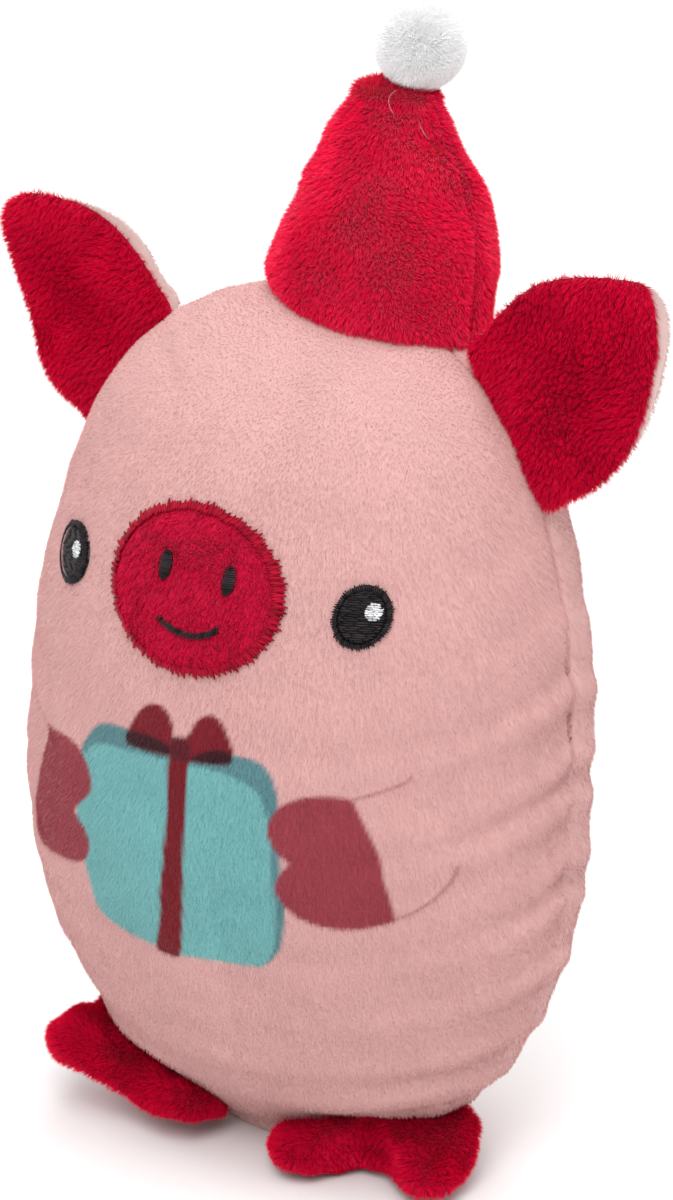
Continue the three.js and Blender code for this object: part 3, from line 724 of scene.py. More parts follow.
def foot_crease(x, z, behind):
    """The folds that each foot pulls into the cloth above its outer corner."""
    total = np.zeros(x.shape)
    for outward in (x, -x):
        run = z - FOOT_FOLD_SLOPE * (outward - FOOT_CORNER)
        for out, up, wide, high, deep in FOOT_FOLDS:
            total += deep * bell((outward - out) / wide, (run - up) / high)
    return -(total + FOOT_HOLLOW * over_left_foot(x, z)) * (behind < 6)


def ear_fold(x, z, behind):
    """The soft fold that the raised right ear pulls into the brow beside it."""
    gap = z - (169.2 - 4.0 * np.clip((x + 36.8) / 16.6, 0, 1) ** 2)
    reach = smoothstep(-42, -34, x) * (1 - smoothstep(-24, -14, x)) * (behind < 2)
    return reach * (0.3 * bell((gap - 2.6) / 2.2) - 0.55 * bell(gap / 1.8))


def closer_at_seams(count, strength):
    """Shares from 0 to 1 that stand closer together at both ends."""
    share = np.arange(count) / count
    return share - strength * np.sin(2 * math.pi * share) / (2 * math.pi)


def body_skin():
    """The whole egg with its seam, ripples and lumps, as rows of points and their normals."""
    heights, spreads = egg_rows()
    angle = math.pi * np.concatenate([closer_at_seams(FRONT_COLUMNS, 0.3) - 1,
                                      closer_at_seams(BACK_COLUMNS, 0.6)])[None, :]
    z = heights[:, None] + 0 * angle
    x = spreads[:, None] * half_width(z) * np.cos(angle)
    y = seam_y(z) + spreads[:, None] * depth(z, angle < 0) * np.sin(angle)
    points = np.stack([x, y, z], -1)
    normals = grid_normals(points)
    normals[heights < 0.01] = (0, 0, -1)
    normals[-1] = (0, 0, 1)
    quiet_face = 1 - FACE_QUIET * (y < -20) * bell((z - 128) / 26)
    cloth = (x, z, y - seam_y(z))
    out = seam_ripple(*cloth) - seam_groove(*cloth) + lumps(points, 5, (0.55, 34), (0.22, 13)) * quiet_face
    out += foot_crease(*cloth) + ear_fold(*cloth)
    tuck = FRONT_TUCK * (y < seam_y(z)) * smoothstep(0, 3, z) * bell((z - 3) / 9)
    return points + normals * (out * smoothstep(0.5, 8, z) - tuck)[..., None], normals


def swept(points, way, size, strength, seed):
    """A comb direction that wanders over the cloth, as if hands had stroked it."""
    wander = np.stack([waves(points, size, seed + axis) for axis in range(3)], -1)
    return np.asarray(way, float) + strength * wander


def combed(normals, way):
    """A comb direction laid into the surface."""
    return unit(way - normals * np.sum(way * normals, -1, keepdims=True), 1e-6)


body_rows, body_normals = body_skin()
body_points, body_normals = body_rows.reshape(-1, 3), body_normals.reshape(-1, 3)
down = np.column_stack([0.3 * body_points[:, 0] / BODY["half_width"],
                        np.zeros(len(body_points)), -np.ones(len(body_points))])
short = 1 - 0.5 * smoothstep(140, 172, body_points[:, 2])
body = skin_piece("stuffed_body", body_rows, "pink_velboa", comb=combed(body_normals, down) * short[:, None],
                  cover=np.ones(len(body_points)), tall=short, dye=dye_at(body_points))
print("stuffed_body:", len(body.data.polygons), "faces")

# %% [markdown]
# ## The nap on the body
# Velboa has a very short pile that lies down the body, so the light draws fine downward streaks on it.
# The front gets more fibres than the back, and none stand under the embroidery or the hat. A fibre
# takes the dye of the place where it is rooted, which gives the print its slightly hairy edges.

# %% The body's nap
def oval_at(x, z, half_width, half_height, tilt=0.0):
    return {"x": x, "z": z, "half_width": half_width, "half_height": half_height, "tilt": tilt}


SNOUT = oval_at(-0.5, 129.1, 21.5, 16.4, math.radians(-5))
EYES = {"left": oval_at(35.4, 128.4, 5.3, 6.3), "right": oval_at(-36.2, 127.9, 5.6, 6.1)}
HAT_X, HAT_Y, HAT_RIM, HAT_TALL = 8.8, 11.8, 176.0, 47.8
HAT_WIDE, HAT_FRONT, HAT_BACK = 26.0, 21.0, 18.5
BARE_BASE, BARE_CROWN, BARE_HAT, BARE_SEAM = 1.5, 160, 0.86, 0.7
FRONT_PARTING = 9


def oval_share(points, oval):
    """0 at the middle of an oval seen from the front and 1 on its edge."""
    return np.hypot((points[:, 0] - oval["x"]) / oval["half_width"],
                    (points[:, 2] - oval["z"]) / oval["half_height"])


def points_of(piece):
    """The points of a piece in millimetres."""
    flat = np.zeros(len(piece.data.vertices) * 3, np.float32)
    piece.data.vertices.foreach_get("co", flat)
    return flat.reshape(-1, 3).astype(float) / MM


skin = points_of(body)
behind = skin[:, 1] - seam_y(skin[:, 2])
bare = np.ones(len(skin))
for oval in (SNOUT, *EYES.values()):
    bare *= smoothstep(0.93, 1.0, np.where(behind < 0, oval_share(skin, oval), 9.0))
under_hat = np.hypot((skin[:, 0] - HAT_X) / HAT_WIDE, (skin[:, 1] - HAT_Y) / HAT_FRONT) < BARE_HAT
bare *= ~(under_hat & (skin[:, 2] > BARE_CROWN)) * (skin[:, 2] > BARE_BASE)
in_closing = (skin[:, 0] > 0) & (skin[:, 2] > CLOSING[0] - 1) & (skin[:, 2] < CLOSING[1] + 1)
bare *= ~(in_closing & (np.abs(behind) < BARE_SEAM))
front_share = 1 - smoothstep(-1, 1, behind)
left_share = smoothstep(FRONT_PARTING - 1, FRONT_PARTING + 1, skin[:, 0])
naps = []
for name, share, per_mm2 in (("front_nap_left", front_share * left_share, 4.6),
                             ("front_nap_right", front_share * (1 - left_share), 3.6),
                             ("back_nap", 1 - front_share, 2.2)):
    store(body, "cover", bare * share)
    naps.append(lay_pile(name, body, "body_nap", per_mm2, 11 + len(naps)))

# %% [markdown]
# ## The hat
# The hat is a cone of two plush panels, stuffed and sewn to the crown. Its lower edge rolls under and
# rests on the head, a seam runs down each side, and the tip is a soft knob that leans a little. Each
# column of points starts where the hat meets the head, so the rim follows the egg. The pile stands
# up short in the dent at the hat's lower left, where a thumb would press it.

# %% The hat's skin
HAT_OUTLINE = [(-0.6, 1.0), (0, 1.0), (0.11, 1.01), (0.23, 1.0), (0.41, 0.9), (0.59, 0.78), (0.75, 0.645),
               (0.85, 0.535), (0.93, 0.42), (0.98, 0.28), (1.0, 0.0)]
HAT_LEAN, HAT_TURN = 2.6, math.radians(-8)
HAT_KNOB, KNOB_TALL, KNOB_WIDE = 0.93, 0.07, 0.42
HAT_SEAM, SEAM_DEEP = 1.5, 1.3
RIM_ROLL, PILE_ROOM, BASE_RINGS, BASE_SUNK = 4.0, 1.3, 5, 6
HAT_DENTS = [  # place, size, how deep
    ((31.5, 0.5, 185.0), 6.5, 3.0), ((24, 8, 214.5), 3.2, 1.9), ((3.1, 7, 218), 3.5, 1.4),
    ((24, -3.5, 196), 8, 0.9), ((20, 4.5, 216.8), 2, 1.1), ((22.6, 6.2, 216.4), 2, 1.2),
    ((24.9, 8.6, 215.6), 2, 1.2), ((26.7, 11.7, 214.2), 2, 0.9)]
THUMB_DENT, THUMB_SIZE, COMB_DENT_SIZE = (30.0, -2.0, 186.0), 8.5, 12
SEAM_SHORT, THUMB_SHORT, THUMB_UPRIGHT = 0.45, 0.4, 0.85
HAT_PARTING_SLOPE, HAT_PARTING = 0.6, 6.5


def crown_height(x, y):
    """The height of the egg's upper half above a place."""
    low, high = np.full(x.shape, BODY["belt"]), np.full(x.shape, BODY["belt"] + BODY["rise"] - 0.01)
    for _ in range(28):
        middle = (low + high) / 2
        inside = outside_body(np.stack([x, y, middle], -1)) < 0
        low, high = np.where(inside, middle, low), np.where(inside, high, middle)
    return low


def near_tip(share):
    """0 up to the knob at the tip of the hat, and 1 at its top."""
    return np.clip((share - HAT_KNOB) / KNOB_TALL, 0, 1)


def hat_ring(share, angle):
    """Where the hat's outline is at a share of its height, before any dents."""
    wide = np.interp(share, *np.array(HAT_OUTLINE).T)
    wide = np.where(share > HAT_KNOB, KNOB_WIDE * np.sqrt(1 - near_tip(share) ** 2), wide)
    deep = np.where(np.sin(angle) < 0, HAT_FRONT, HAT_BACK)
    along, across = HAT_WIDE * wide * np.cos(angle), deep * wide * np.sin(angle)
    x = HAT_X + HAT_LEAN * share + along * math.cos(HAT_TURN) - across * math.sin(HAT_TURN)
    y = HAT_Y + HAT_LEAN * share + along * math.sin(HAT_TURN) + across * math.cos(HAT_TURN)
    return x, y, HAT_RIM + share * HAT_TALL


def hat_skin(rows=110, columns=170):
    """Rows of points from the rim to the tip, their normals, and how close each point is to a seam."""
    angle = full_turn(columns)[None, :]
    foot = np.zeros((1, columns))
    for _ in range(2):
        foot = (crown_height(*hat_ring(foot, angle)[:2]) - HAT_RIM) / HAT_TALL
    share = foot + dome_shares(rows)[:, None] * (1 - foot)
    x, y, z = hat_ring(share, angle)
    lift = (share - foot) * HAT_TALL
    roll = RIM_ROLL * (1 - np.sqrt(1 - np.clip(1 - lift / RIM_ROLL, 0, 1) ** 2))
    points = np.stack([x, y, z + 0 * angle], -1)
    normals = grid_normals(points)
    normals[-1] = (0, 0, 1)
    left_gap = np.minimum(angle, 2 * math.pi - angle) * HAT_WIDE
    seam = bell(left_gap / HAT_SEAM) + bell((angle - math.pi) * HAT_WIDE / HAT_SEAM)
    out = lumps(points, 21, (0.8, 30), (0.35, 11)) - SEAM_DEEP * seam
    for place, size, deep in HAT_DENTS:
        out -= deep * bell(np.linalg.norm(points - place, axis=-1) / size)
    out = out * smoothstep(0, 5, lift) * (1 - smoothstep(0.97, 1.0, share))
    out = out - roll - PILE_ROOM * (1 - near_tip(share))
    return points + normals * out[..., None], normals, seam + 0 * out


hat_points, hat_normals, hat_seam = hat_skin()
base_middle = hat_points[0].mean(0) - (0, 0, BASE_SUNK)
base_rows = np.stack([base_middle + (hat_points[0] - base_middle) * share
                      for share in np.linspace(0, 1, BASE_RINGS, endpoint=False)])
hat_rows = np.concatenate([base_rows, hat_points])
hat_normals = np.concatenate([np.zeros_like(base_rows) + (0, 0, -1), hat_normals]).reshape(-1, 3)
no_pile = np.zeros(base_rows.shape[:2])
from_dent = np.linalg.norm(hat_rows.reshape(-1, 3) - THUMB_DENT, axis=1)
hat_tall = 1 - SEAM_SHORT * np.concatenate([no_pile, hat_seam]).ravel()
hat_tall = hat_tall - THUMB_SHORT * bell(from_dent / THUMB_SIZE)
hat_cover = np.concatenate([no_pile, np.ones(hat_seam.shape)]).ravel()
hat_comb = combed(hat_normals, swept(hat_rows.reshape(-1, 3), (0.25, -0.1, -1), 26, 0.7, 23))
hat = skin_piece("stuffed_hat", hat_rows, "red_ground", cover=hat_cover, tall=hat_tall,
                 comb=hat_comb * (1 - THUMB_UPRIGHT * bell(from_dent / COMB_DENT_SIZE))[:, None])
hat_x, hat_y, _ = points_of(hat).T
hat_front = 1 - smoothstep(-1, 1, hat_y - HAT_PARTING_SLOPE * hat_x - HAT_PARTING)
hat_cover = np.zeros(len(hat_front), np.float32)
hat.data.attributes["cover"].data.foreach_get("value", hat_cover)
hat_piles = []
for name, share, per_mm2 in (("hat_pile_front", hat_front, 20), ("hat_pile_back", 1 - hat_front, 12)):
    store(hat, "cover", hat_cover * share)
    hat_piles.append(lay_pile(name, hat, "hat_plush", per_mm2, 31 + len(hat_piles)))

# %% [markdown]
# ## The pompom
# A pompom is a bundle of cut yarn, so its fibres stand straight out of a core and end on one sphere.
# It sits in the tip of the hat.

# %% The pompom
POMPOM_CENTRE, CORE_RADIUS = np.array([15.8, 15.0, 231.4]), 7.95


def ball_rows(centre, radius, rows=26, columns=48):
    polar = np.linspace(-math.pi / 2, math.pi / 2, rows)[:, None]
    angle = full_turn(columns)[None, :]
    level = np.cos(polar)
    way = np.stack([level * np.cos(angle), level * np.sin(angle), np.sin(polar) + 0 * angle], -1)
    return centre + way * (radius * (1 + 0.02 * waves(way * 8, 6, 41)))[..., None]


ball = ball_rows(POMPOM_CENTRE, CORE_RADIUS)
even = np.ones(ball.shape[:2])
pompom = skin_piece("pompom_core", ball, "white_core", comb=0 * ball, cover=even, tall=even)
pompom_pile = lay_pile("pompom_fluff", pompom, "fluff", 54, 43)

# %% [markdown]
# ## Ears
# Each ear is two plies sewn round one edge and turned: red plush in front, pink velboa behind. They
# are modelled as two thin pads back to back, cupped and bent as the photograph shows. The red ply is
# cut a little smaller on one side, where the edge of the pink one rolls into view. The red pile
# stands up in the hollow of the ear and lies down round it.

# %% Pads between two plies
def padded_rows(outline, upper, lower, rings=22):
    """Rows over one side of a pad from its middle to its edge, and back under the other side."""
    middle = outline.mean(0)
    shares = dome_shares(rings)
    over = [upper(middle + (outline - middle) * share, share) for share in shares]
    under = [lower(middle + (outline - middle) * share) for share in shares[::-1]]
    return np.stack(over + under)


def plump(share, edge=4.0):
    """How full a pad is between its middle and its edge."""
    return (1 - share ** edge) ** 0.5


EAR_OUTLINE = {
    1: [(-0.5, -0.08), (-0.555, 0.1), (-0.565, 0.27), (-0.53, 0.43), (-0.45, 0.59), (-0.31, 0.73),
        (-0.13, 0.86), (0.03, 0.96), (0.17, 1.02), (0.3, 1.02), (0.42, 0.93), (0.52, 0.81), (0.6, 0.67),
        (0.65, 0.51), (0.65, 0.36), (0.615, 0.2), (0.555, 0.05), (0.49, -0.08), (0, -0.1)],
    -1: [(-0.59, -0.08), (-0.63, 0.08), (-0.625, 0.25), (-0.55, 0.41), (-0.42, 0.56), (-0.26, 0.73),
         (-0.09, 0.91), (0.03, 0.995), (0.17, 1.01), (0.31, 0.945), (0.43, 0.81), (0.54, 0.65),
         (0.605, 0.5), (0.605, 0.35), (0.545, 0.2), (0.48, 0.07), (0.41, -0.08), (0, -0.1)]}
PLUSH_OUTLINE = {
    1: [(-0.5, -0.08), (-0.555, 0.1), (-0.56, 0.25), (-0.525, 0.41), (-0.44, 0.56), (-0.31, 0.68),
        (-0.16, 0.77), (-0.03, 0.86), (0.1, 0.92), (0.235, 0.975), (0.345, 1.0), (0.43, 0.925),
        *EAR_OUTLINE[1][11:]],
    -1: [*EAR_OUTLINE[-1][:11], (0.52, 0.66), (0.55, 0.5), (0.525, 0.36), (0.475, 0.22), (0.415, 0.08),
         (0.34, -0.07), (0, -0.1)]}
EAR_BASE, EAR_LONG, EAR_SLOPE, EAR_DROP, EAR_STANDOFF = 34.0, 41.0, math.radians(57), 20.0, 0.9
EAR_CUP, EAR_PLY, EAR_HOLLOW, EAR_POINTS = 5.0, 2.3, 17.0, 120
EAR_BEND = {1: 1.5, -1: 9.0}
EAR_TRIM, HOLLOW_UPRIGHT, HOLLOW_SIZE = 0.7, 0.8, 12
ZERO = np.array(0.0)


def ear_place(side, u, v, forward):
    """A place on an ear: along its base towards the crown, out from its base, and forward."""
    base_z = BODY["belt"] + BODY["rise"] - EAR_DROP
    v = EAR_STANDOFF + v
    x = float(half_width(np.array(base_z))) - math.cos(EAR_SLOPE) * u + math.sin(EAR_SLOPE) * v
    z = base_z + math.sin(EAR_SLOPE) * u + math.cos(EAR_SLOPE) * v
    return np.stack([side * x, seam_y(z) - forward, z], -1)


def ear_ply(name, side, facing, finish, seed):
    """One ply of an ear. Facing is 1 for the front and -1 for the back."""
    cut = PLUSH_OUTLINE if facing > 0 else EAR_OUTLINE
    outline = smooth_loop(cut[side], EAR_POINTS) * (EAR_BASE, EAR_LONG)
    outline = outline - EAR_TRIM * unit(outline - outline.mean(0))

    def middle_height(uv):
        along, out = uv[:, 0] / (EAR_BASE / 2), uv[:, 1] / EAR_LONG
        return EAR_BEND[side] * out ** 2 * np.sign(out) + EAR_CUP * (along ** 2 - 1) * smoothstep(0, 1, out)

    def outer(uv, share):
        place = ear_place(side, *uv.T, 0 * uv[:, 0])
        full = (EAR_PLY + lumps(place, seed, (0.8, 19), (0.3, 8))) * plump(share)
        return ear_place(side, *uv.T, middle_height(uv) + facing * full)

    rows = padded_rows(outline, outer, lambda uv: ear_place(side, *uv.T, middle_height(uv)))
    points = rows.reshape(-1, 3)
    shown = np.repeat([1.0, 0.0], len(points) // 2) * (outside_body(points) > -0.01)
    way = swept(points, (0.3 * side, 0, -1), 22, 0.7 if facing > 0 else 0.2, seed + 5)
    comb = combed(np.tile((0.0, -float(facing), 0.0), (len(points), 1)), way)
    from_hollow = np.linalg.norm(points - ear_place(side, ZERO, EAR_HOLLOW, ZERO), axis=1)
    comb = comb * (1 - HOLLOW_UPRIGHT * bell(from_hollow / HOLLOW_SIZE))[:, None]
    return skin_piece(name, rows, finish, comb=comb, cover=shown, tall=np.ones(len(points)),
                      dye=np.tile((*PALE_PINK, 1), (len(points), 1)))


ears = {}
for name, side in (("left", 1), ("right", -1)):
    plush = ear_ply(f"ear_{name}_plush", side, 1, "red_ground", 51 + side)
    velboa = ear_ply(f"ear_{name}_velboa", side, -1, "pink_velboa", 61 + side)
    pile = lay_pile(f"ear_{name}_pile", plush, "plush", 26, 71 + side)
    nap = lay_pile(f"ear_{name}_nap", velboa, "ear_nap", 9, 81 + side)
    ears[name] = [plush, velboa, pile, nap]

# %% [markdown]
# ## Feet
# A foot is a flat plush bag with two toes, sewn into the bottom seam. Its outline is the same above
# and below, its edge is a roll, and the outer back corner climbs to the side seam of the body. The
# left foot is the plumper one, with a deep notch between its toes.

# %% Feet
FOOT_OUTLINE = {
    1: [(-20.5, 2), (-21.5, 9), (-21, 16), (-18, 21.5), (-13, 23.5), (-9, 20.5), (-5.6, 15.8), (-1.5, 13.6),
        (3.6, 15.6), (7.5, 20), (12, 24.5), (17, 25), (19.8, 21.5), (20.3, 15), (19.8, 8), (18, 2), (9, 0),
        (-9, 0)],
    -1: [(-10, 2), (-13.5, 6), (-16.5, 11), (-18, 16.5), (-17, 21), (-13.2, 23), (-7, 23.6), (0, 26),
         (6, 29), (12, 30.3), (17.7, 28.8), (22.5, 24.2), (24.8, 17.3), (25.4, 11), (24.5, 4), (20, 0),
         (9, 0), (-3, 0)]}
FOOT = {"x": 24.0, "y": 3.0, "width": 44.0, "length": 28.0, "height": 9.5, "rim": 3.4, "heel": 8.0,
        "points": 150}
FOOT_MIDDLE = {1: (0.0, 6.0), -1: (3.5, 15.0)}
TOE_OUT = math.radians(15)
TOE_LIFT, TIP_LIFT, INNER_LIFT = {1: 0.0, -1: 7.5}, {1: 2.0, -1: 5.0}, {1: 0.0, -1: 1.3}
ROLL, SOLE_PILE, FLOOR_GAP = 1.65, 0.35, 0.7
SOLE_RINGS, ROLL_RINGS, TOP_RINGS = 22, 9, 26
FOOT_BURIED, TOE_BURIED = 0.02, 0.13


def foot_place(side, u, v, z):
    """A place on a foot: across to its outer side, forward from the seam, and up."""
    across, ahead = math.cos(TOE_OUT), math.sin(TOE_OUT)
    return np.stack([side * (FOOT["x"] + across * u + ahead * v), ahead * u - across * v - FOOT["y"], z], -1)


def foot_lift(side, u, v):
    """How far a place on a foot is raised by the heel, the toes and their tips."""
    outward = smoothstep(-0.2, 0.5, u / FOOT["width"])
    heel = smoothstep(0, 1, 1 - v / (0.6 * FOOT["length"]))
    inward = smoothstep(0.1, 0.42, -u / FOOT["width"])
    tips = TIP_LIFT[side] * np.clip(v / FOOT["length"], 0, 1) + INNER_LIFT[side] * inward
    return outward * (FOOT["heel"] * heel + TOE_LIFT[side]) + tips


def foot_fullness(side, u, v):
    """How plump the top of a foot is: the left one is full at its inner toe and dips in its middle."""
    if side < 0:
        return np.ones_like(u)
    toe = np.exp(-((u + 6) ** 2 + (v - 8) ** 2) / 150)
    return 1 + 0.8 * toe + 0.45 * bell((u - 4) / 11, (v - 11) / 4) - 1.25 * bell((u - 6) / 6.5, (v - 3) / 4)


def foot_skin(name, side, seed):
    """A foot from the middle of its sole, over the roll of its edge, to the middle of its top."""
    outline = smooth_loop(FOOT_OUTLINE[side], FOOT["points"])
    middle = np.array(FOOT_MIDDLE[side])
    edge_way = unit(outline - middle)
    outline = outline - edge_way * PILE_ROOM
    low, high = FOOT["rim"] - 1.5, FOOT["rim"] + 1.8
    crown = FOOT["height"] - PILE_ROOM - high
    rows = []
    for share in dome_shares(SOLE_RINGS):
        uv = middle + (outline - middle) * share
        into_seam = 2.5 * (1 - smoothstep(0, 9, uv[:, 1]))
        rows.append((uv, foot_lift(side, *uv.T) + low * (1 - plump(share, 5)) + into_seam, SOLE_PILE))
    for turn in np.linspace(-math.pi / 2, math.pi / 2, ROLL_RINGS)[1:-1]:
        uv = outline + edge_way * ROLL * math.cos(turn)
        rows.append((uv, foot_lift(side, *outline.T) + (low + high) / 2 + ROLL * math.sin(turn), 1.0))
    for share in dome_shares(TOP_RINGS)[::-1]:
        uv = middle + (outline - middle) * share
        top = crown * foot_fullness(side, *uv.T) * plump(share, 5)
        rows.append((uv, foot_lift(side, *uv.T) + high + top, 1.0))
    points = np.stack([foot_place(side, *uv.T, z) for uv, z, _ in rows])
    normals = grid_normals(points) * -side
    normals *= np.sign(normals[-8, :, 2].mean())
    points = points + normals * lumps(points, seed, (0.7, 15), (0.35, 7))[..., None]
    points[..., 2] = np.maximum(points[..., 2], FLOOR_GAP)
    flat = points.reshape(-1, 3)
    buried = FOOT_BURIED + (TOE_BURIED * over_left_foot(flat[:, 0], flat[:, 2]) if side > 0 else 0)
    comb = combed(normals.reshape(-1, 3), swept(flat, (0.2 * side, -0.5, -0.7), 20, 0.6, seed + 7))
    return skin_piece(name, points, "red_ground", comb=comb, cover=outside_body(flat) > -buried,
                      tall=np.repeat([tall for _, _, tall in rows], len(outline)))


feet = {}
for name, side in (("left", 1), ("right", -1)):
    foot = foot_skin(f"foot_{name}_pad", side, 91 + side)
    feet[name] = [foot, lay_pile(f"foot_{name}_pile", foot, "plush", 24, 95 + side)]

# %% [markdown]
# ## Stitches by Geometry Nodes
# Every stitch is a short run of thread between two needle holes. Python works out where the holes
# are, and one node tree lays a slim thread along each run, with its own shade, so that satin stitch,
# border, smile and closing seam are all made by the same rule.

# %% The stitch tree
def stitch_tree():
    """A thread along the run stored at each point."""
    tree, given, result = tree_with("stitches", Girth="Float", Seed="Int", Finish="Material")
    run = named(tree, "run", "FLOAT_VECTOR")
    points = add_node(tree, "GeometryNodeMeshToPoints", Mesh=given["Geometry"]).outputs[0]
    thread = add_node(tree, "GeometryNodeMeshUVSphere", Segments=6, Rings=5, Radius=0.5).outputs[0]
    long = add_node(tree, "ShaderNodeVectorMath", {"operation": "LENGTH"}, _0=run).outputs["Value"]
    size = add_node(tree, "ShaderNodeCombineXYZ", X=given["Girth"], Y=given["Girth"], Z=long).outputs[0]
    threads = laid(tree, points, thread, turned_to(tree, run), size)
    threads = keep_value(tree, threads, "tint", random_number(tree, 0.0, 1.0, given["Seed"]))
    smooth = add_node(tree, "GeometryNodeSetShadeSmooth", Geometry=realised(tree, threads, given["Finish"]))
    tree.links.new(smooth.outputs[0], result["Geometry"])
    return tree


STITCHES = stitch_tree()


def sew(name, starts, ends, finish, girth):
    """Stitches from starts to ends, as one piece. Lengths are millimetres."""
    starts, ends = np.asarray(starts, float), np.asarray(ends, float)
    holes = mesh_piece(name + "_holes", (starts + ends) / 2, [], {"run": (ends - starts) * MM})
    made = run_tree(holes, STITCHES, name, Girth=girth * MM, Seed=1, Finish=FINISH[finish])
    bpy.data.objects.remove(holes)
    print(f"{name}: {len(starts)} stitches")
    return made


def on_front(x, z, lift, step=0.2):
    """A place on the front of the body, lifted off it along its normal."""
    x, z = np.asarray(x, float), np.asarray(z, float)
    slope_x = (front_y(x + step, z) - front_y(x - step, z)) / (2 * step)
    slope_z = (front_y(x, z + step) - front_y(x, z - step)) / (2 * step)
    normal = unit(np.stack([slope_x, -np.ones_like(x), slope_z], -1))
    return np.stack([x, front_y(x, z), z], -1) + normal * np.asarray(lift)[..., None]


# %% [markdown]
# ## Eyes
# An eye is embroidered straight into the cloth: rows of level fill stitches inside a raised ring of
# short satin stitches, and a small white glint sewn over them. The thread pulls the pile flat, so the
# eye sits in a shallow bed, level with the tips of the nap.

# %% Eyes
SHORTEST_STITCH, OVERLAP, JITTER = 0.35, 0.08, 0.06
UNDER_CLOTH = -0.6
GLINT_RIGHT, GLINT_UP, GLINT_SIZE = 2.0, 1.1, (1.6, 1.8)


def oval_point(oval, share, angle):
    """A place on an oval at a share of its size, in the flat of the front view."""
    tilt = oval["tilt"]
    a, b = oval["half_width"] * share * np.cos(angle), oval["half_height"] * share * np.sin(angle)
    return (oval["x"] + a * math.cos(tilt) - b * math.sin(tilt),
            oval["z"] + a * math.sin(tilt) + b * math.cos(tilt))


def on_oval(oval, share, angle, lift):
    """A place on an oval, lifted off the front of the body."""
    return on_front(*oval_point(oval, share, angle), lift + 0 * angle)


def patch_on_front(name, oval, finish, size, lift, full, rings=10, columns=64):
    """A low closed cushion on the front of the body, under or between stitches."""
    shares, angle = dome_shares(rings), full_turn(columns)
    over = [on_oval(oval, size * share, angle, lift + full * plump(share)) for share in shares]
    under = [on_oval(oval, size * share, angle, UNDER_CLOTH) for share in shares[::-1]]
    return skin_piece(name, np.stack(over + under), finish)


def fill_rows(rng, oval, size, pitch, stitch, lift):
    """Level rows of running stitches that fill an oval."""
    starts, ends = [], []
    tall = oval["half_height"] * size
    for z in np.arange(-tall + pitch / 2, tall, pitch):
        wide = oval["half_width"] * size * math.sqrt(max(0.0, 1 - (z / tall) ** 2))
        x = -wide - stitch * rng.uniform(0.0, 0.9)
        while x < wide:
            a, b = max(x, -wide), min(x + stitch, wide)
            if b - a > SHORTEST_STITCH:
                starts.append(on_front(oval["x"] + a - OVERLAP, oval["z"] + z,
                                       lift + rng.uniform(-JITTER, JITTER)))
                ends.append(on_front(oval["x"] + b + OVERLAP,
                                     oval["z"] + z + rng.uniform(-2 * JITTER, 2 * JITTER), lift))
            x += stitch
    return starts, ends


def ring_stitches(rng, oval, inner, outer, count, lift, slant, spike):
    """Satin stitches across the edge of an oval."""
    angle = np.arange(count) / count * 2 * math.pi
    reach = outer + spike * rng.uniform(-0.6, 1.0, count)
    starts = on_oval(oval, inner + rng.uniform(-0.02, 0.02, count), angle, lift)
    ends = on_oval(oval, reach, angle + slant, lift - 0.45)
    return list(starts), list(ends)


def sew_both(name, first, second, finish, girth):
    return sew(name, first[0] + second[0], first[1] + second[1], finish, girth)


eyes = {}
for (name, oval), seed in zip(EYES.items(), (101, 103)):
    rng = np.random.default_rng(seed)
    bed = patch_on_front(f"eye_{name}_bed", oval, "black_thread", size=0.97, lift=0.0, full=0.75)
    fill = fill_rows(rng, oval, size=0.77, pitch=0.44, stitch=2.6, lift=0.85)
    ring = ring_stitches(rng, oval, inner=0.8, outer=1.0, count=80, lift=1.15, slant=0.05, spike=0.05)
    eye = sew_both(f"eye_{name}_satin", fill, ring, "black_thread", girth=0.48)
    spot = oval_at(oval["x"] + GLINT_RIGHT, oval["z"] + GLINT_UP, *GLINT_SIZE)
    glint = fill_rows(rng, spot, size=0.95, pitch=0.42, stitch=1.3, lift=1.2)
    across = ring_stitches(rng, spot, inner=0.1, outer=0.95, count=11, lift=1.35, slant=0.9, spike=0.25)
    eyes[name] = [bed, eye, sew_both(f"eye_{name}_shine", glint, across, "white_thread", girth=0.42)]

# %% [markdown]
# ## Snout
# The snout is a plush patch laid on the cloth and sewn down by a zigzag border that bites into the
# pink with little spikes. The nostrils are upright satin ovals and the smile is one row of satin. No
# pile stands under any of them.

# %% Snout
SNOUT_FULL = 1.5
NOSTRILS = {"left": oval_at(8.9, 132.4, 1.5, 2.8), "right": oval_at(-6.3, 132.8, 1.5, 2.8)}
BORDER_INNER, BORDER_OUTER, BORDER_TOOTH, BORDER_FULL, BORDER_EDGE = 0.88, 0.972, 0.042, 1.6, 0.5
NOSTRIL_DENT = {"half_width": 1.9, "half_height": 3.1}
SMILE = [(-5.7, 122.9), (-4.4, 122.2), (-2.1, 121.3), (1.0, 120.8), (4.2, 121.0), (6.6, 121.8), (8.4, 122.9)]

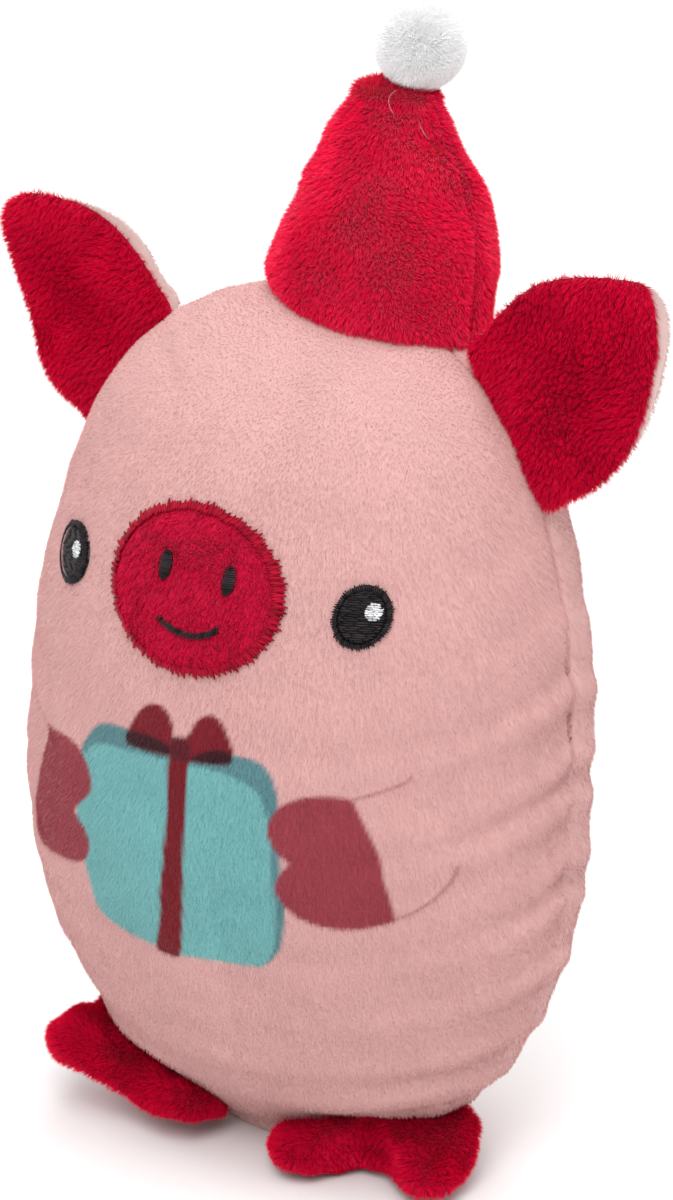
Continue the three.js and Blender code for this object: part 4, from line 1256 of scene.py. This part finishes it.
patch = patch_on_front("snout_plush", SNOUT, "red_ground", 0.965, 0.0, SNOUT_FULL, rings=26, columns=150)
patch_points = points_of(patch)
patch_x, patch_y, patch_z = patch_points.T
pressed = (patch_y < front_y(patch_x, patch_z) - 0.3) * (oval_share(patch_points, SNOUT) < 0.9)
for nostril in NOSTRILS.values():
    pressed = pressed * smoothstep(0.7, 1.0, oval_share(patch_points, nostril | NOSTRIL_DENT))
smile_gap = np.min([segment_distance(patch_x, patch_z, a, b) for a, b in zip(SMILE, SMILE[1:])], axis=0)
store(patch, "cover", pressed * smoothstep(0.5, 1.0, smile_gap))
store(patch, "comb", combed(np.tile((0.0, -1.0, 0.0), (len(patch_points), 1)),
                            swept(patch_points, (0.5, 0, -0.9), 14, 0.6, 115)))
store(patch, "tall", np.ones(len(patch_points)))
snout_pile = lay_pile("snout_pile", patch, "snout_plush", 25, 111)


def border_stitches(teeth=190):
    """A zigzag of satin round the snout, whose outer ends bite unevenly into the pink."""
    rng = np.random.default_rng(113)
    angle = np.arange(teeth) / teeth * 2 * math.pi
    inner = BORDER_INNER + 0.015 * rng.uniform(-1, 1, teeth)
    outer = BORDER_OUTER + 0.028 * rng.uniform(-1, 1, teeth) + BORDER_TOOTH * (np.arange(teeth) % 2)
    inner_holes = on_oval(SNOUT, inner, angle, BORDER_FULL + 0.15 * rng.uniform(-1, 1, teeth))
    outer_holes = on_oval(SNOUT, outer, angle + 0.5 * math.pi / teeth, BORDER_EDGE)
    under_in = on_oval(SNOUT, inner + 0.02, angle + 0.02, BORDER_FULL - 0.3)
    under_out = on_oval(SNOUT, outer - 0.03, angle - 0.03, BORDER_EDGE - 0.1)
    starts = np.concatenate([inner_holes, outer_holes, under_in])
    return starts, np.concatenate([outer_holes, np.roll(inner_holes, -1, 0), under_out])


def nostril_stitches(nostril, pitch=0.42, power=2.3):
    """Level satin stitches from top to bottom of a nostril."""
    z = np.arange(-nostril["half_height"] + 0.2, nostril["half_height"], pitch)
    wide = nostril["half_width"] * (1 - np.abs(z / nostril["half_height"]) ** power) ** (1 / power) + 0.2
    lift = np.full(len(z), SNOUT_FULL + 0.55)
    return (on_front(nostril["x"] - wide, nostril["z"] + z - 0.1, lift),
            on_front(nostril["x"] + wide, nostril["z"] + z + 0.15, lift))


def smile_stitches(count=34, half=0.75):
    """Slanted satin stitches, evenly spaced along the smile."""
    line = np.array(SMILE)
    run = np.concatenate([[0], np.cumsum(np.hypot(*np.diff(line, axis=0).T))])
    places = np.column_stack([np.interp(np.linspace(0, run[-1], count), run, line[:, i]) for i in (0, 1)])
    way = unit(np.gradient(places, axis=0))
    slanted = np.column_stack([-way[:, 1] + 0.5 * way[:, 0], way[:, 0] + 0.5 * way[:, 1]]) * half
    lift = np.full(count, SNOUT_FULL + 0.6)
    return on_front(*(places - slanted).T, lift), on_front(*(places + slanted).T, lift)


border = sew("snout_border_satin", *border_stitches(), "red_thread", girth=0.56)
nostrils = {name: [sew(f"nostril_{name}_satin", *nostril_stitches(nostril), "black_thread", girth=0.58),
                   patch_on_front(f"nostril_{name}_bed", nostril, "black_thread", 0.9, SNOUT_FULL, 0.4, 6, 24)]
            for name, nostril in NOSTRILS.items()}
smile = sew("smile_satin", *smile_stitches(), "black_thread", girth=0.5)

# %% [markdown]
# ## The closing stitches
# The toy is stuffed through a gap in its left side seam, which is then closed by hand. Short ladder
# stitches cross the groove there, and pull it deeper than the machine seam above and below.

# %% Closing stitches
def closing_stitches(count=9, inset=0.9, half=1.1, slant=0.5):
    """Ladder stitches across the groove of the seam."""
    z = np.linspace(*CLOSING, count)
    x = half_width(z) - inset
    return [np.column_stack([x, seam_y(z) + side * half, z + side * slant]) for side in (-1, 1)]


closing = sew("closing_stitches", *closing_stitches(), "pink_thread", girth=0.5)

# %% [markdown]
# ## The tie thread
# The pompom is tied on through the tip of the hat, and the loose ends of its thread lie curled on
# the plush below it.

# %% Tie thread
TIES = {  # start, pull and end of the curl, girth
    "tie_thread_left": ((15.5, 7.5, 223.5), (14, 4.0, 222.5), (17.5, 3.4, 219.5), 0.08),
    "tie_thread_right": ((21, 7, 218), (22.5, 5.5, 216.5), (24, 6, 215), 0.07)}


def thread_tube(name, start, pull, end, girth, count=24, sides=6):
    """A thin tube along a curl, tapered at both ends."""
    share = np.linspace(0, 1, count)[:, None]
    start, pull, end = (np.array(point, float) for point in (start, pull, end))
    path = start * (1 - share) ** 2 + 2 * pull * share * (1 - share) + end * share ** 2
    run = unit(np.gradient(path, axis=0))
    across = unit(np.cross(run, (0.3, 0.1, 1.0)))
    other = np.cross(run, across)
    turn = (np.arange(sides) / sides * 2 * math.pi)[:, None]
    taper = np.sin(np.linspace(0.05, math.pi - 0.05, count)) ** 0.3
    ring = across[:, None] * np.cos(turn) + other[:, None] * np.sin(turn)
    ring = ring * (girth / 2 * taper)[:, None, None]
    rows = np.concatenate([np.repeat(path[:1, None], sides, 1), path[:, None] + ring,
                           np.repeat(path[-1:, None], sides, 1)])
    return skin_piece(name, rows, "white_thread")


ties = [thread_tube(name, *row) for name, row in TIES.items()]
print("tie threads:", len(ties))

# %% [markdown]
# ## Floor
# A pale floor stands a hair below the toy. It is part of the stage, not of the toy.

# %% Floor
FLOOR_HALF, FLOOR_Z = 6, -0.0001

floor_mesh = bpy.data.meshes.new("floor")
corners = [(x * FLOOR_HALF, y * FLOOR_HALF, FLOOR_Z) for x, y in ((-1, -1), (1, -1), (1, 1), (-1, 1))]
floor_mesh.from_pydata(corners, [], [(0, 1, 2, 3)])
floor = new_object("floor", floor_mesh)
floor_finish, floor_tree, floor_shader = start_finish("pale_floor", 0.9)
floor_grey = scaled(floor_tree, patchy(floor_tree, 3.0), 0.89, 0.91)
floor_tree.links.new(floor_grey, floor_shader.inputs["Base Color"])
floor_mesh.materials.append(floor_finish)

# %% [markdown]
# ## What moves with what
# Most pieces ride on the body they are sewn to, and the plain solids that the soft pieces dress are
# hidden. An ear or a foot is sewn into a seam, but here its pieces only keep their place and ride on
# no body.

# %% Rides and bends
EAR_BLEND, FOOT_BLEND, FOOT_BLEND_HEIGHT = (-1.5, 6.0), (-4.0, 5.0), 4.5


def dress(pieces, body_name):
    """Pieces that ride on one body."""
    for piece in pieces:
        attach(piece, body_name)


def bend(pieces, body_name, slot_names, root, beyond):
    """Bakes the place of each piece into its mesh."""
    for piece, slot_name in zip(pieces, slot_names):
        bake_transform(piece)


dress([body, *naps], "torso")
dress([hat, *hat_piles, patch, snout_pile], "torso")
dress([pompom, pompom_pile], "pompom")
dress([border], "torso")
dress([closing], "torso")
dress([smile, *(p for n in nostrils.values() for p in n), *(p for e in eyes.values() for p in e[:2])],
      "torso")
dress([*(e[2] for e in eyes.values()), *ties], "torso")

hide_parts("body_front_panel", "body_back_panel", "body_fill")
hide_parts("hat_front_panel", "hat_back_panel", "hat_fill")
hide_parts("pompom")
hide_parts("snout_patch")
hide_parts("snout_border")
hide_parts("mouth")
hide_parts("closing_thread")
for name, side in (("left", 1), ("right", -1)):
    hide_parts(f"nostril_{name}")
    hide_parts(f"eye_{name}")
    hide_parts(f"eye_{name}_glint")
    bend(ears[name], f"ear_{name}", ("red_plush", "pink_cloth") * 2,
         *(ear_place(side, ZERO, v, ZERO) for v in EAR_BLEND))
    bend(feet[name], f"foot_{name}", ("red_plush", "red_plush"),
         *(foot_place(side, ZERO, v, np.array(FOOT_BLEND_HEIGHT)) for v in FOOT_BLEND))
    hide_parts(f"ear_{name}_front")
    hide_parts(f"ear_{name}_back")
    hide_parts(f"foot_{name}_upper", f"foot_{name}_sole", f"foot_{name}_fill")

# %% [markdown]
# ## Finish
# The knot inside the hat keeps its CAD shape and gets a thread finish.

# %% Finish
knot = frame["nodes"]["pompom_knot"]
for i in range(len(knot.data.materials)):
    knot.data.materials[i] = FINISH["white_thread"]

shown = [o for o in bpy.data.objects if o.type == "MESH" and not o.hide_render]
print("triangles:", sum(sum(len(face.vertices) - 2 for face in o.data.polygons) for o in shown))
